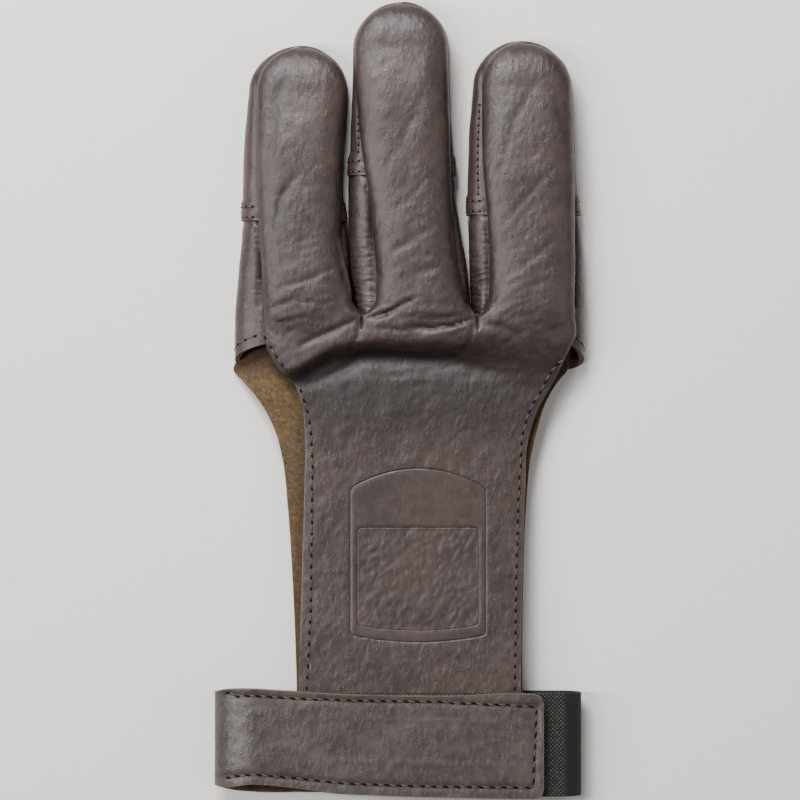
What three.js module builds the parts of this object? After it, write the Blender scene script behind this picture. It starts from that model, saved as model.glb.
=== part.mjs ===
// A three-finger leather archery glove, lying palm down: back of the hand up, fingertips towards +Y.
// Millimetres, +Z up, with the origin under the middle of the glove, on the surface that it lies on.
import * as THREE from "three";

// Lengths along the glove
const MIDDLE_LENGTH = 86.9; // from the crotch line to the tip
const INDEX_LENGTH = 74.8;
const RING_LENGTH = 76.1;
const HAND_LENGTH = 104; // from the crotch line to the strap's upper edge
const STRAP_WIDTH = 28.9;

// Lengths across the glove
const STALL_WIDTH = 27.5; // a finger stall at its tip
const INDEX_SPREAD = 2.3; // room between the index and middle stalls
const RING_SPREAD = 6.1;
const MIDDLE_CENTRE = 0.6;
const STRAP_SPAN = 101.2; // the flattened wrist loop, over its left fold and its right end
const STRAP_CENTRE = -0.55; // the loop's middle
const STRAP_REACH = 10.5; // what the elastic shows beyond the strap's end
const STRAP_JOIN = 14; // how far the elastic laps the strap's far end
const RAMP_CLEAR = 3; // from the strap's far end to where the elastic has climbed to its level
const RAMP_RUN = 6; // and what the climb takes

// Heights and rounds
const STALL_HEIGHT = 16;
const WRIST_ROOM = 6.2; // free height inside the wrist loop
const TIP_RADIUS = 12.8;
const CORNER = 4; // the turn from a stall's side to its flat underside

// Leathers and other sheets
const PANEL_LEATHER = 1.3;
const PALM_LEATHER = 1.3;
const TIP_LEATHER = 1.6;
const LINING_LEATHER = 1.0;
const STRAP_LEATHER = 1.5;
const ELASTIC = 1.2;
const HOOK_PATCH = 0.9;

// Fits
const GAP = 0.3; // between sheets that lie on each other
const EDGE_LAP = 3.2; // how far the side walls tuck in under the back panel's edge
const HEM_LAP = 4.5; // how far the fingertip leather laps the palm leather
const HEM_RISE = 0.5; // how far its hem stands out
const TUCK_START = 6; // before the hem, where the palm leather begins to dip under it
const TUCK_END = 1; // and where it is all the way under
const MOUTH_DEPTH = 14.5; // from the crotch line to the hem that the fingers go in at
const NOTCH_DEPTH = 5.8; // from the crotch line to the notch where the back panel leaves the side
const EDGE_STEP = 0.4; // between the long edges of the strap's far layer, its front and the elastic

// Places that follow from the sizes
const GLOVE_LENGTH = STRAP_WIDTH + HAND_LENGTH + MIDDLE_LENGTH;
const STRAP_BOTTOM = -GLOVE_LENGTH / 2;
const STRAP_TOP = STRAP_BOTTOM + STRAP_WIDTH;
const CROTCH_LINE = STRAP_TOP + HAND_LENGTH;
const EDGE_HEIGHT = 0.62 * STALL_HEIGHT; // the back panel's edge beside the knuckles
const WALL_HEIGHT = 0.2 * STALL_HEIGHT; // where a stall is widest
const TIP_HEIGHT = 0.45 * STALL_HEIGHT; // where the seams meet round a fingertip

// Turns rows of numbers under named columns into one object for each row.
function table(columns, rows) {
  return rows.map((row) => Object.fromEntries(columns.map((column, i) => [column, row[i]])));
}

// Each row is a section of a finger stall. along is a share of the finger's length, from the crotch.
// leftOut to rightOut are shares of STALL_WIDTH from the stall's middle: its outline and its seams.
// top, leftEdge and rightEdge are shares of STALL_HEIGHT, and the laps are shares of EDGE_LAP.
const STALL_WAYS = ["along", "leftOut", "leftSeam", "rightSeam", "rightOut"];
const STALL = [...STALL_WAYS, "top", "leftEdge", "rightEdge", "leftLap", "rightLap"];
const indexRows = table(STALL, [
  [0.0, -0.6, -0.32, 0.68, 0.68, 0.99, 0.62, 0.62, 1, 0],
  [0.04, -0.595, -0.32, 0.6, 0.61, 1.0, 0.62, 0.61, 1, 0.5],
  [0.1, -0.58, -0.325, 0.565, 0.585, 1.0, 0.63, 0.58, 1, 1],
  [0.18, -0.56, -0.33, 0.51, 0.54, 0.99, 0.64, 0.54, 1, 1],
  [0.28, -0.53, -0.35, 0.47, 0.52, 0.96, 0.65, 0.5, 1, 1],
  [0.39, -0.52, -0.36, 0.48, 0.505, 0.93, 0.65, 0.47, 1, 1],
  [0.5, -0.52, -0.37, 0.48, 0.49, 0.9, 0.64, 0.46, 1, 1],
  [0.66, -0.5, -0.38, 0.5, 0.51, 0.87, 0.58, 0.45, 1, 1],
  [0.829, -0.46, -0.38, 0.53, 0.54, 0.83, 0.5, 0.45, 1, 1],
]);
const middleRows = table(STALL, [
  [0.0, -0.404, -0.404, 0.753, 0.753, 1.0, 0.62, 0.62, 0, 0],
  [0.035, -0.36, -0.3, 0.665, 0.7, 1.02, 0.62, 0.61, 0.5, 0.5],
  [0.09, -0.47, -0.265, 0.61, 0.675, 1.02, 0.63, 0.6, 1, 1],
  [0.16, -0.515, -0.27, 0.56, 0.65, 1.01, 0.64, 0.57, 1, 1],
  [0.26, -0.54, -0.3, 0.52, 0.6, 0.99, 0.65, 0.53, 1, 1],
  [0.38, -0.54, -0.33, 0.5, 0.54, 0.96, 0.65, 0.5, 1, 1],
  [0.47, -0.535, -0.38, 0.49, 0.53, 0.93, 0.64, 0.47, 1, 1],
  [0.6, -0.515, -0.43, 0.48, 0.5, 0.9, 0.6, 0.45, 1, 1],
  [0.73, -0.5, -0.46, 0.47, 0.48, 0.87, 0.55, 0.45, 1, 1],
  [0.853, -0.495, -0.48, 0.46, 0.47, 0.83, 0.5, 0.45, 1, 1],
]);
const ringRows = table(STALL, [
  [0.0, -0.469, -0.469, 0.513, 0.607, 0.98, 0.62, 0.62, 0, 1],
  [0.035, -0.445, -0.37, 0.513, 0.607, 1.0, 0.62, 0.62, 0.5, 1],
  [0.09, -0.48, -0.345, 0.513, 0.607, 1.0, 0.63, 0.61, 1, 1],
  [0.17, -0.515, -0.35, 0.515, 0.6, 0.98, 0.64, 0.58, 1, 1],
  [0.27, -0.545, -0.355, 0.515, 0.585, 0.95, 0.65, 0.54, 1, 1],
  [0.4, -0.565, -0.38, 0.515, 0.55, 0.92, 0.65, 0.5, 1, 1],
  [0.52, -0.56, -0.41, 0.515, 0.527, 0.9, 0.64, 0.47, 1, 1],
  [0.66, -0.55, -0.42, 0.5, 0.51, 0.87, 0.58, 0.45, 1, 1],
  [0.832, -0.51, -0.42, 0.475, 0.487, 0.83, 0.5, 0.45, 1, 1],
]);

// tip is the fingertip's place across, a share of STALL_WIDTH, and hem the fingertip leather's end.
const FINGERS = [
  { name: "index", length: INDEX_LENGTH, rows: indexRows, tip: 0.07, hem: 0.355 },
  { name: "middle", length: MIDDLE_LENGTH, rows: middleRows, tip: 0.005, hem: 0.45 },
  { name: "ring", length: RING_LENGTH, rows: ringRows, tip: -0.03, hem: 0.37 },
];
const [INDEX, MIDDLE, RING] = FINGERS;
INDEX.centre = MIDDLE_CENTRE - STALL_WIDTH - INDEX_SPREAD;
MIDDLE.centre = MIDDLE_CENTRE;
RING.centre = MIDDLE_CENTRE + STALL_WIDTH + RING_SPREAD;

// Neighbouring stalls meet in one point at their crotch, half way between what their rows say.
function meetAtCrotch(leftFinger, rightFinger) {
  const [fromLeft, fromRight] = [leftFinger.rows[0], rightFinger.rows[0]];
  const leftPlace = leftFinger.centre + fromLeft.rightSeam * STALL_WIDTH;
  const rightPlace = rightFinger.centre + fromRight.leftSeam * STALL_WIDTH;
  const place = (leftPlace + rightPlace) / 2;
  fromLeft.rightSeam = fromLeft.rightOut = (place - leftFinger.centre) / STALL_WIDTH;
  fromRight.leftSeam = fromRight.leftOut = (place - rightFinger.centre) / STALL_WIDTH;
}
meetAtCrotch(INDEX, MIDDLE);
meetAtCrotch(MIDDLE, RING);

// The hand, from the crotch line (down 0) to the strap's upper edge (down 1) and on under the strap.
// left and right are shares of the knuckles' width, height a share of STALL_HEIGHT.
// knuckles is how much of the fingers' rounding is left, wrist how much of the wrist's level is reached.
const HAND = ["down", "left", "right", "height", "knuckles", "wrist"];
const handRows = table(HAND, [
  [0.034, 0.0, 1.0, 0.94, 0.86, 0],
  [0.056, 0.0, 1.0, 0.86, 0.62, 0],
  [0.085, 0.026, 0.983, 0.72, 0.36, 0],
  [0.112, 0.05, 0.967, 0.6, 0.14, 0],
  [0.135, 0.07, 0.952, 0.58, 0.06, 0],
  [0.18, 0.105, 0.926, 0.62, 0, 0],
  [0.24, 0.126, 0.885, 0.6, 0, 0],
  [0.32, 0.136, 0.852, 0.57, 0, 0],
  [0.46, 0.134, 0.842, 0.55, 0, 0],
  [0.64, 0.128, 0.834, 0.55, 0, 0.1],
  [0.82, 0.122, 0.829, 0.56, 0, 0.6],
  [0.96, 0.118, 0.827, 0.58, 0, 1],
  [1.2, 0.118, 0.827, 0.58, 0, 1],
]);

// The lining's outline beyond the hand panel, and sag, its drop there, a share of STALL_HEIGHT.
const LINING = ["down", "left", "right", "leftSag", "rightSag"];
const liningRows = table(LINING, [
  [0.06, 0.02, 0.975, 0.2, 0.16],
  [0.085, -0.045, 0.99, 0.24, 0.16],
  [0.112, -0.08, 0.98, 0.25, 0.14],
  [0.14, -0.096, 0.979, 0.34, 0.1],
  [0.172, -0.064, 0.947, 0.26, 0.05],
  [0.22, -0.015, 0.912, 0.15, 0.03],
  [0.3, 0.038, 0.881, 0.06, 0.02],
  [0.38, 0.064, 0.859, 0.03, 0.02],
  [0.5, 0.08, 0.845, 0.02, 0.02],
  [0.7, 0.096, 0.835, 0.02, 0.01],
  [0.86, 0.105, 0.832, 0.02, 0.01],
  [0.96, 0.109, 0.832, 0, 0],
  [1.2, 0.109, 0.832, 0, 0],
]);

// Gathers of the back panel about the crotches: from a point to another, as shares of the knuckles'
// width across and of HAND_LENGTH down, with a depth and a width in shares of STALL_HEIGHT.
const GATHER = ["across", "down", "toAcross", "toDown", "depth", "width"];
const gathers = table(GATHER, [
  [0.3, -0.015, 0.13, 0.1, 0.05, 0.16],
  [0.34, 0.0, 0.45, 0.03, 0.04, 0.12],
  [0.68, 0.0, 0.55, 0.04, 0.05, 0.14],
  [0.7, 0.0, 0.71, 0.12, 0.04, 0.14],
  [0.06, -0.2, 0.24, -0.05, 0.03, 0.2],
  [0.86, -0.22, 0.98, -0.04, 0.03, 0.2],
]);

// Small helpers for numbers and tables
const mix = (a, b, share) => a + (b - a) * share;

function tableValue(rows, key, column, at) {
  const next = rows.findIndex((row) => row[key] >= at);
  if (next === 0) return rows[0][column];
  if (next < 0) return rows.at(-1)[column];
  const [before, after] = [rows[next - 1], rows[next]];
  return mix(before[column], after[column], (at - before[key]) / (after[key] - before[key]));
}

const range = (count) => Array.from({ length: count + 1 }, (_, i) => i / count);
const radians = (degrees) => (degrees * Math.PI) / 180;

// The two coordinates of a quarter of a superellipse, by angle.
const ROUNDING = 2.8;
const rise = (angle) => Math.sin(angle) ** (2 / ROUNDING);
const fall = (angle) => Math.max(0, Math.cos(angle)) ** (2 / ROUNDING);

// A sheet of leather from grids of [outer point, inner point] pairs. Grids share the pairs at which
// their outer points meet. The two skins are joined by a wall along every open edge.
function sheet(grids) {
  const index = new Map();
  const outer = [];
  const inner = [];
  const triangles = [];
  const corner = ([out, into]) => {
    const key = out.map((value) => Math.round(value * 1000)).join();
    if (!index.has(key)) {
      index.set(key, outer.length);
      outer.push(out);
      inner.push(into);
    }
    return index.get(key);
  };
  for (const grid of grids) {
    for (let row = 0; row + 1 < grid.length; row++) {
      for (let column = 0; column + 1 < grid[row].length; column++) {
        const a = corner(grid[row][column]);
        const b = corner(grid[row][column + 1]);
        const c = corner(grid[row + 1][column + 1]);
        const d = corner(grid[row + 1][column]);
        triangles.push([a, b, c], [a, c, d]);
      }
    }
  }
  const faces = triangles.filter(([a, b, c]) => a !== b && b !== c && c !== a);
  const edges = new Set(faces.flatMap(([a, b, c]) => [`${a},${b}`, `${b},${c}`, `${c},${a}`]));
  const count = outer.length;
  const all = faces.flatMap(([a, b, c]) => [a, b, c, c + count, b + count, a + count]);
  for (const edge of edges) {
    const [a, b] = edge.split(",").map(Number);
    if (!edges.has(`${b},${a}`)) all.push(b, a, a + count, b, a + count, b + count);
  }
  const geometry = new THREE.BufferGeometry();
  geometry.setAttribute("position", new THREE.Float32BufferAttribute([...outer, ...inner].flat(), 3));
  geometry.setIndex(all);
  return geometry.toNonIndexed();
}

// The sizes of one finger's section in millimetres, at a share of its length.
function stallSection(finger, along) {
  const value = (column) => tableValue(finger.rows, "along", column, along);
  const across = (column) => finger.centre + value(column) * STALL_WIDTH;
  const side = (name, inward) => ({
    inward,
    out: across(name + "Out"),
    seam: across(name + "Seam"),
    edge: value(name + "Edge") * STALL_HEIGHT,
    lap: value(name + "Lap"),
  });
  return {
    y: CROTCH_LINE + along * finger.length,
    top: value("top") * STALL_HEIGHT,
    left: side("left", 1),
    right: side("right", -1),
  };
}

// Stations from a share of a finger's length to the round tip, and on round it by angle.
const TIP_TURNS = [0, 22, 42, 60, 76, 90];
function stations(finger, from, between) {
  const roundFrom = finger.rows.at(-1).along;
  const straight = [from, ...between.filter((along) => along > from && along < roundFrom)];
  return [
    ...straight.map((along) => ({ along, turn: 0 })),
    ...TIP_TURNS.map((turn) => ({ along: roundFrom, turn: radians(turn) })),
  ];
}

// Draws a row of a section in towards the fingertip's pole as the row goes round the tip.
function roundTip(finger, { along, turn }, radius, height, point) {
  const pole = finger.centre + finger.tip * STALL_WIDTH;
  const near = Math.cos(turn);
  const y = CROTCH_LINE + along * finger.length + radius * Math.sin(turn);
  return [mix(pole, point[0], near), y, mix(height, point[1], near)];
}

// The back panel's arch over a finger, from its left seam to its right one.
const ARCH = 2.5;
const ARCH_STEPS = range(10).map((share) => -Math.cos(Math.PI * share));
const archHeight = (across) => (1 - Math.abs(across) ** ARCH) ** (1 / ARCH);
function archPoint({ left, right, top }, across, inset) {
  const share = (across + 1) / 2;
  const edge = mix(left.edge, right.edge, share);
  const x = mix(left.seam + inset, right.seam - inset, share);
  return [x, edge + (top - inset - edge) * archHeight(across)];
}

const backAlongs = [0.04, 0.1, 0.18, 0.28, 0.39, 0.5, 0.66, 0.75];
function fingerBack(finger) {
  return stations(finger, 0, backAlongs).map((station) => {
    const section = stallSection(finger, station.along);
    return ARCH_STEPS.map((across) => {
      const outer = archPoint(section, across, 0);
      const inner = archPoint(section, across, PANEL_LEATHER);
      const radius = TIP_RADIUS - HEM_RISE;
      const pair = [
        roundTip(finger, station, radius, TIP_HEIGHT, outer),
        roundTip(finger, station, radius - PANEL_LEATHER, TIP_HEIGHT, inner),
      ];
      const onCrotch = station.along === 0 && section[across < 0 ? "left" : "right"].lap === 0;
      if (onCrotch && Math.abs(across) === 1) pair[1] = [...pair[0].slice(0, 2), pair[0][2] - PANEL_LEATHER];
      return pair;
    });
  });
}

const KNUCKLE_LEFT = stallSection(INDEX, 0).left.seam;
const KNUCKLE_WIDTH = stallSection(RING, 0).right.seam - KNUCKLE_LEFT;
const acrossHand = (share) => KNUCKLE_LEFT + share * KNUCKLE_WIDTH;
const downHand = (share) => CROTCH_LINE - share * HAND_LENGTH;

// Levels of the wrist's layers, from the surface upwards.
const FAR_STRAP_TOP = STRAP_LEATHER;
const LINING_LEVEL = FAR_STRAP_TOP + WRIST_ROOM + LINING_LEATHER;
const PANEL_LEVEL = LINING_LEVEL + GAP + PANEL_LEATHER;
const ELASTIC_LEVEL = PANEL_LEVEL + GAP + ELASTIC;
const PATCH_LEVEL = ELASTIC_LEVEL + GAP + HOOK_PATCH;
const STRAP_LEVEL = PATCH_LEVEL + GAP + STRAP_LEATHER;

// The hand panel's level in its middle, and how far its two edges curl down.
const FLAT_CURL = 0.4;
function handLevel(down) {
  const value = (column) => tableValue(handRows, "down", column, down);
  const level = mix(value("height") * STALL_HEIGHT, PANEL_LEVEL, value("wrist"));
  const curl = Math.max(FLAT_CURL, level - EDGE_HEIGHT) * (1 - value("wrist"));
  return { level, curl, knuckles: value("knuckles") };
}

function gatherDepth([x, y]) {
  return gathers.reduce((depth, gather) => {
    const from = new THREE.Vector2(acrossHand(gather.across), downHand(gather.down));
    const to = new THREE.Vector2(acrossHand(gather.toAcross), downHand(gather.toDown));
    const way = to.clone().sub(from);
    const share = THREE.MathUtils.clamp(new THREE.Vector2(x, y).sub(from).dot(way) / way.lengthSq(), 0, 1);
    const distance = Math.hypot(x - mix(from.x, to.x, share), y - mix(from.y, to.y, share));
    const spread = distance / (gather.width * STALL_HEIGHT);
    return depth + gather.depth * STALL_HEIGHT * Math.sin(Math.PI * share) * Math.exp(-spread * spread);
  }, 0);
}

function backPanel() {
  const fingers = FINGERS.map(fingerBack);
  const knuckles = fingers.flatMap((rows, i) => rows[0].slice(i === 0 ? 0 : 1));
  const knuckleSpan = knuckles.at(-1)[0][0] - knuckles[0][0][0];
  const hand = handRows.map((row) => {
    const { level, curl, knuckles: left } = handLevel(row.down);
    return knuckles.map(([outer, inner]) => {
      const share = (outer[0] - knuckles[0][0][0]) / knuckleSpan;
      const x = acrossHand(mix(row.left, row.right, share));
      const y = downHand(row.down);
      const flat = level - curl * (1 - archHeight(2 * share - 1));
      const z = mix(flat, outer[2], left) - gatherDepth([x, y]);
      const into = [(inner[0] - outer[0]) * left, (inner[1] - outer[1]) * left];
      return [
        [x, y, z],
        [x + into[0], y + into[1], z - mix(PANEL_LEATHER, outer[2] - inner[2], left)],
      ];
    });
  });
  const dented = fingers.map((rows) =>
    rows.map((row, i) =>
      row.map(([outer, inner], j) => {
        const depth = i === 0 || j === 0 || j === row.length - 1 ? 0 : gatherDepth(outer);
        return [
          [outer[0], outer[1], outer[2] - depth],
          [inner[0], inner[1], inner[2] - depth],
        ];
      }),
    ),
  );
  return sheet([...dented, [...hand.toReversed(), knuckles]]);
}

// Half a stall's lower skin: in from the side, under the back panel's edge, out and down to the floor.
const WALL_TURNS = [0, 35, 62, 80, 90].map(radians);
const CORNER_TURNS = [35, 65, 90].map(radians);
const WALL_POINTS = WALL_TURNS.length + CORNER_TURNS.length;
function wallPoints({ inward, out, seam, edge, lap }, inset) {
  const tuck = seam + inward * EDGE_LAP * lap;
  const sink = Math.max(inset, 0);
  const crotchDrop = PANEL_LEATHER * (1 - Math.min(1, 2 * lap));
  const top = edge - GAP - crotchDrop - sink;
  const side = out + inward * inset * Math.min(1, 2 * lap);
  const foot = out + inward * CORNER * lap;
  return [
    ...WALL_TURNS.map((turn) => [mix(tuck, side, rise(turn)), mix(WALL_HEIGHT, top, fall(turn))]),
    ...CORNER_TURNS.map((turn) => [mix(foot, side, fall(turn)), mix(WALL_HEIGHT, sink, rise(turn))]),
  ];
}

// A whole lower skin at a section: left wall, flat underside, right wall.
const FLOOR_STEPS = [0.25, 0.5, 0.75];
function lowerPoints(section, inset) {
  const left = wallPoints(section.left, inset);
  const right = wallPoints(section.right, inset).toReversed();
  const level = left.at(-1)[1];
  const floor = FLOOR_STEPS.map((share) => [mix(left.at(-1)[0], right[0][0], share), level]);
  return [...left, ...floor, ...right];
}

// The thicker leather round and under a fingertip, whose hem laps the palm leather.
const HEM_EASE = 0.03; // the share of a finger in which the hem comes back to the leather's face
const tipAlongs = [0.6, 0.72];
function fingertip(finger) {
  const hemStart = finger.hem + HEM_LAP / finger.length;
  const between = [hemStart, hemStart + HEM_EASE, ...tipAlongs];
  const rows = stations(finger, finger.hem, between).map((station) => {
    const section = stallSection(finger, station.along);
    const proud = station.turn === 0 && station.along <= hemStart ? HEM_RISE : 0;
    const outer = lowerPoints(section, -proud);
    const inner = lowerPoints(section, TIP_LEATHER - proud);
    const height = TIP_HEIGHT - GAP;
    return outer.map((point, i) => [
      roundTip(finger, station, TIP_RADIUS, height, point),
      roundTip(finger, station, TIP_RADIUS - TIP_LEATHER, height - TIP_LEATHER, inner[i]),
    ]);
  });
  return sheet([rows.map((row) => row.toReversed())]);
}

// The leather on the palm side: a trough under each finger, joined at the crotches, and its mouth.
const palmAlongs = [0, 0.04, 0.1, 0.18, 0.28];
function palmFinger(finger) {
  const fromHem = (distance) => finger.hem + distance / finger.length;
  const tucked = TIP_LEATHER - HEM_RISE + GAP;
  const lap = [
    { along: fromHem(-TUCK_START), inset: 0 },
    { along: fromHem(-TUCK_END), inset: tucked },
    { along: fromHem(HEM_LAP), inset: tucked },
  ];
  const plain = palmAlongs.filter((along) => along < fromHem(-TUCK_START - TUCK_END));
  return [...plain.map((along) => ({ along, inset: 0 })), ...lap].map(({ along, inset }) => {
    const section = stallSection(finger, along);
    const outer = lowerPoints(section, inset);
    const inner = lowerPoints(section, inset + PALM_LEATHER);
    return outer.map((point, i) => {
      const onCrotch = along === 0 && section[i < outer.length / 2 ? "left" : "right"].lap === 0;
      const inWall = i < WALL_POINTS || i >= outer.length - WALL_POINTS;
      const back = onCrotch && inWall ? PALM_LEATHER : 0;
      return [
        [point[0], section.y, point[1]],
        [inner[i][0], section.y - back, inner[i][1]],
      ];
    });
  });
}

const MOUTH_SWEEP = 1.5; // how late the mouth's edge falls from the notch to its full depth
function palmPanel() {
  const fingers = FINGERS.map(palmFinger);
  const last = WALL_POINTS - 1;
  const leftWall = fingers[0][0].slice(0, last);
  const rightWall = fingers[2][0].slice(-last);
  const floors = fingers.map(([row]) => row.slice(last, row.length - last));
  const floor = [...floors[0], ...floors[1].slice(1), ...floors[2].slice(1)];
  const top = [...leftWall, ...floor, ...rightWall];
  const rows = range(3).map((share) =>
    top.map(([outer, inner], i) => {
      const fromSide = Math.min(i, top.length - 1 - i, last) / last;
      const drop = share * mix(NOTCH_DEPTH, MOUTH_DEPTH, fromSide ** MOUTH_SWEEP);
      if (share === 0) return [outer, inner];
      return [
        [outer[0], outer[1] - drop, outer[2]],
        [inner[0], outer[1] - drop, inner[2]],
      ];
    }),
  );
  return sheet([...fingers, rows.toReversed()].map((grid) => grid.map((row) => row.toReversed())));
}

// The lining keeps lower near the knuckles, where the panel above it is gathered.
const GATHER_ROOM = 0.05; // a share of STALL_HEIGHT
const GATHER_REACH = 0.2; // a share of HAND_LENGTH
const gatherRoom = (down) => GATHER_ROOM * STALL_HEIGHT * Math.max(0, 1 - down / GATHER_REACH);

// The suede-backed layer under the hand panel, seen beyond its edges, drooping at the mouth's corners.
// The columns run across it, as shares of its width, and so do the two stretches that droop.
const LINING_COLUMNS = [0, 0.06, 0.12, 0.2, 0.35, 0.5, 0.65, 0.8, 0.88, 0.94, 1];
const LEFT_DROOP = 0.2;
const RIGHT_DROOP = 0.12;
function handLining() {
  const rows = liningRows.map(({ down, left, right, leftSag, rightSag }) => {
    const { level, curl } = handLevel(down);
    const panelLeft = tableValue(handRows, "down", "left", down);
    const panelRight = tableValue(handRows, "down", "right", down);
    return LINING_COLUMNS.map((share) => {
      const across = mix(left, right, share);
      const panelShare = THREE.MathUtils.clamp((across - panelLeft) / (panelRight - panelLeft), 0, 1);
      const covered = Math.min(level, Math.max(EDGE_HEIGHT, PANEL_LEVEL));
      const under = covered - Math.min(curl, FLAT_CURL) * (1 - archHeight(2 * panelShare - 1));
      const overLeft = Math.max(0, 1 - share / LEFT_DROOP) ** 2;
      const overRight = Math.max(0, 1 - (1 - share) / RIGHT_DROOP) ** 2;
      const sag = (leftSag * overLeft + rightSag * overRight) * STALL_HEIGHT;
      const z = under - PANEL_LEATHER - GAP - sag - gatherRoom(down);
      const [x, y] = [acrossHand(across), downHand(down)];
      return [
        [x, y, z],
        [x, y, z - LINING_LEATHER],
      ];
    });
  });
  return sheet([rows.toReversed()]);
}

// A band on edge: a path in X and Z, swept along Y. Each path point may hold its own top and bottom Y.
function band(path, thickness, columns) {
  const points = path.map(({ x, z }) => new THREE.Vector2(x, z));
  const grid = path.map(({ top, bottom }, i) => {
    const before = points[Math.max(i - 1, 0)];
    const after = points[Math.min(i + 1, points.length - 1)];
    const way = after.clone().sub(before).normalize();
    const into = new THREE.Vector2(way.y, -way.x).multiplyScalar(thickness);
    return columns.map((share) => {
      const y = mix(bottom, top, share);
      return [
        [points[i].x, y, points[i].y],
        [points[i].x + into.x, y, points[i].y + into.y],
      ];
    });
  });
  return sheet([grid.map((row) => row.toReversed())]);
}

const STRAP_LEFT = STRAP_CENTRE - STRAP_SPAN / 2;
const ELASTIC_RIGHT = STRAP_CENTRE + STRAP_SPAN / 2;
const STRAP_END = ELASTIC_RIGHT - STRAP_REACH;
const acrossStrap = (share) => STRAP_CENTRE + share * STRAP_SPAN;
const STRAP_FAR_END = acrossStrap(0.21); // under the elastic's far end

// A half turn from low to high about a fold, its centre and radii in X and Z.
function fold(centreX, radiusX, low, high, side) {
  const middle = (low + high) / 2;
  const reach = (high - low) / 2;
  return range(8).map((share) => {
    const angle = Math.PI * (share - 0.5);
    return { x: centreX + side * radiusX * Math.cos(angle), z: middle + reach * Math.sin(angle) };
  });
}

// The leather strap: its outer side from the join underneath, round the left fold and over the front.
function wristStrap() {
  const reach = STRAP_LEVEL / 2;
  const skew = 0.07 * STRAP_WIDTH; // the front layer lies a little higher at the left than the far one
  const corner = 0.06 * STRAP_WIDTH;
  const lift = (share) => STRAP_BOTTOM + skew * THREE.MathUtils.clamp(share, 0, 1);
  const far = [0.1, -0.1, -0.25].map(acrossStrap);
  const front = [-0.3, -0.15, 0, 0.15, 0.27].map(acrossStrap);
  const level = acrossStrap(0.2); // from here to the end the front layer's lower edge is straight
  const path = [
    ...[STRAP_FAR_END, ...far].map((x) => ({
      x,
      z: 0,
      top: STRAP_TOP - EDGE_STEP,
      bottom: STRAP_BOTTOM,
    })),
    ...fold(STRAP_LEFT + reach, reach, 0, STRAP_LEVEL, -1).map((point) => ({
      ...point,
      top: STRAP_TOP,
      bottom: lift(point.z / STRAP_LEVEL),
    })),
    ...[...front, STRAP_END - corner].map((x) => ({
      x,
      z: STRAP_LEVEL,
      top: STRAP_TOP,
      bottom: lift((level - x) / (STRAP_SPAN / 2)),
    })),
    { x: STRAP_END, z: STRAP_LEVEL, top: STRAP_TOP - corner, bottom: STRAP_BOTTOM + corner },
  ];
  return band(path, STRAP_LEATHER, range(3));
}

// The elastic: its outer side from the hand panel's end, round the right fold, to the strap's far end.
function wristElastic() {
  const reach = ELASTIC_LEVEL / 2;
  const start = acrossHand(0.16);
  const over = STRAP_LEATHER + GAP;
  const path = [
    ...[start, ...[0, 0.15, 0.3].map(acrossStrap)].map((x) => ({ x, z: ELASTIC_LEVEL })),
    ...fold(ELASTIC_RIGHT - reach, reach, 0, ELASTIC_LEVEL, 1).toReversed(),
    { x: STRAP_FAR_END + RAMP_CLEAR + RAMP_RUN, z: 0 },
    { x: STRAP_FAR_END + RAMP_CLEAR, z: over },
    { x: STRAP_FAR_END - STRAP_JOIN, z: over },
  ].map((point) => ({ ...point, top: STRAP_TOP + EDGE_STEP, bottom: STRAP_BOTTOM + 2 * EDGE_STEP }));
  return band(path, ELASTIC, range(2));
}

// The fastener patch between the strap's end and the elastic.
function hookPatch() {
  const length = 0.26 * STRAP_SPAN;
  const width = 0.76 * STRAP_WIDTH;
  const middle = (STRAP_TOP + STRAP_BOTTOM) / 2;
  const end = STRAP_END - 0.12 * STRAP_WIDTH;
  const ends = { top: middle + width / 2, bottom: middle - width / 2 };
  const path = [end - length, end].map((x) => ({ x, z: PATCH_LEVEL, ...ends }));
  return band(path, HOOK_PATCH, range(1));
}

const leather = (color) => new THREE.MeshStandardMaterial({ color, roughness: 0.55, metalness: 0 });
const DARK_BROWN = 0x4a3b35;
const STRAP_BROWN = 0x493c38;
const SUEDE = 0x7a6243;
const BLACK = 0x1c1b1a;

const glove = new THREE.Group();
function add(name, geometry, material) {
  const mesh = new THREE.Mesh(geometry, material);
  mesh.name = name;
  mesh.geometry.computeVertexNormals();
  glove.add(mesh);
}

add("back_panel", backPanel(), leather(DARK_BROWN));
add("palm_panel", palmPanel(), leather(DARK_BROWN));
for (const finger of FINGERS) add(`${finger.name}_fingertip`, fingertip(finger), leather(DARK_BROWN));
add("hand_lining", handLining(), leather(SUEDE));
add("wrist_strap", wristStrap(), leather(STRAP_BROWN));
add("wrist_band", wristElastic(), leather(BLACK));
add("hook_patch", hookPatch(), leather(BLACK));

export default glove;
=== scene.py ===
import bpy
import numpy as np
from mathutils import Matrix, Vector, noise
from mathutils.bvhtree import BVHTree


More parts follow.
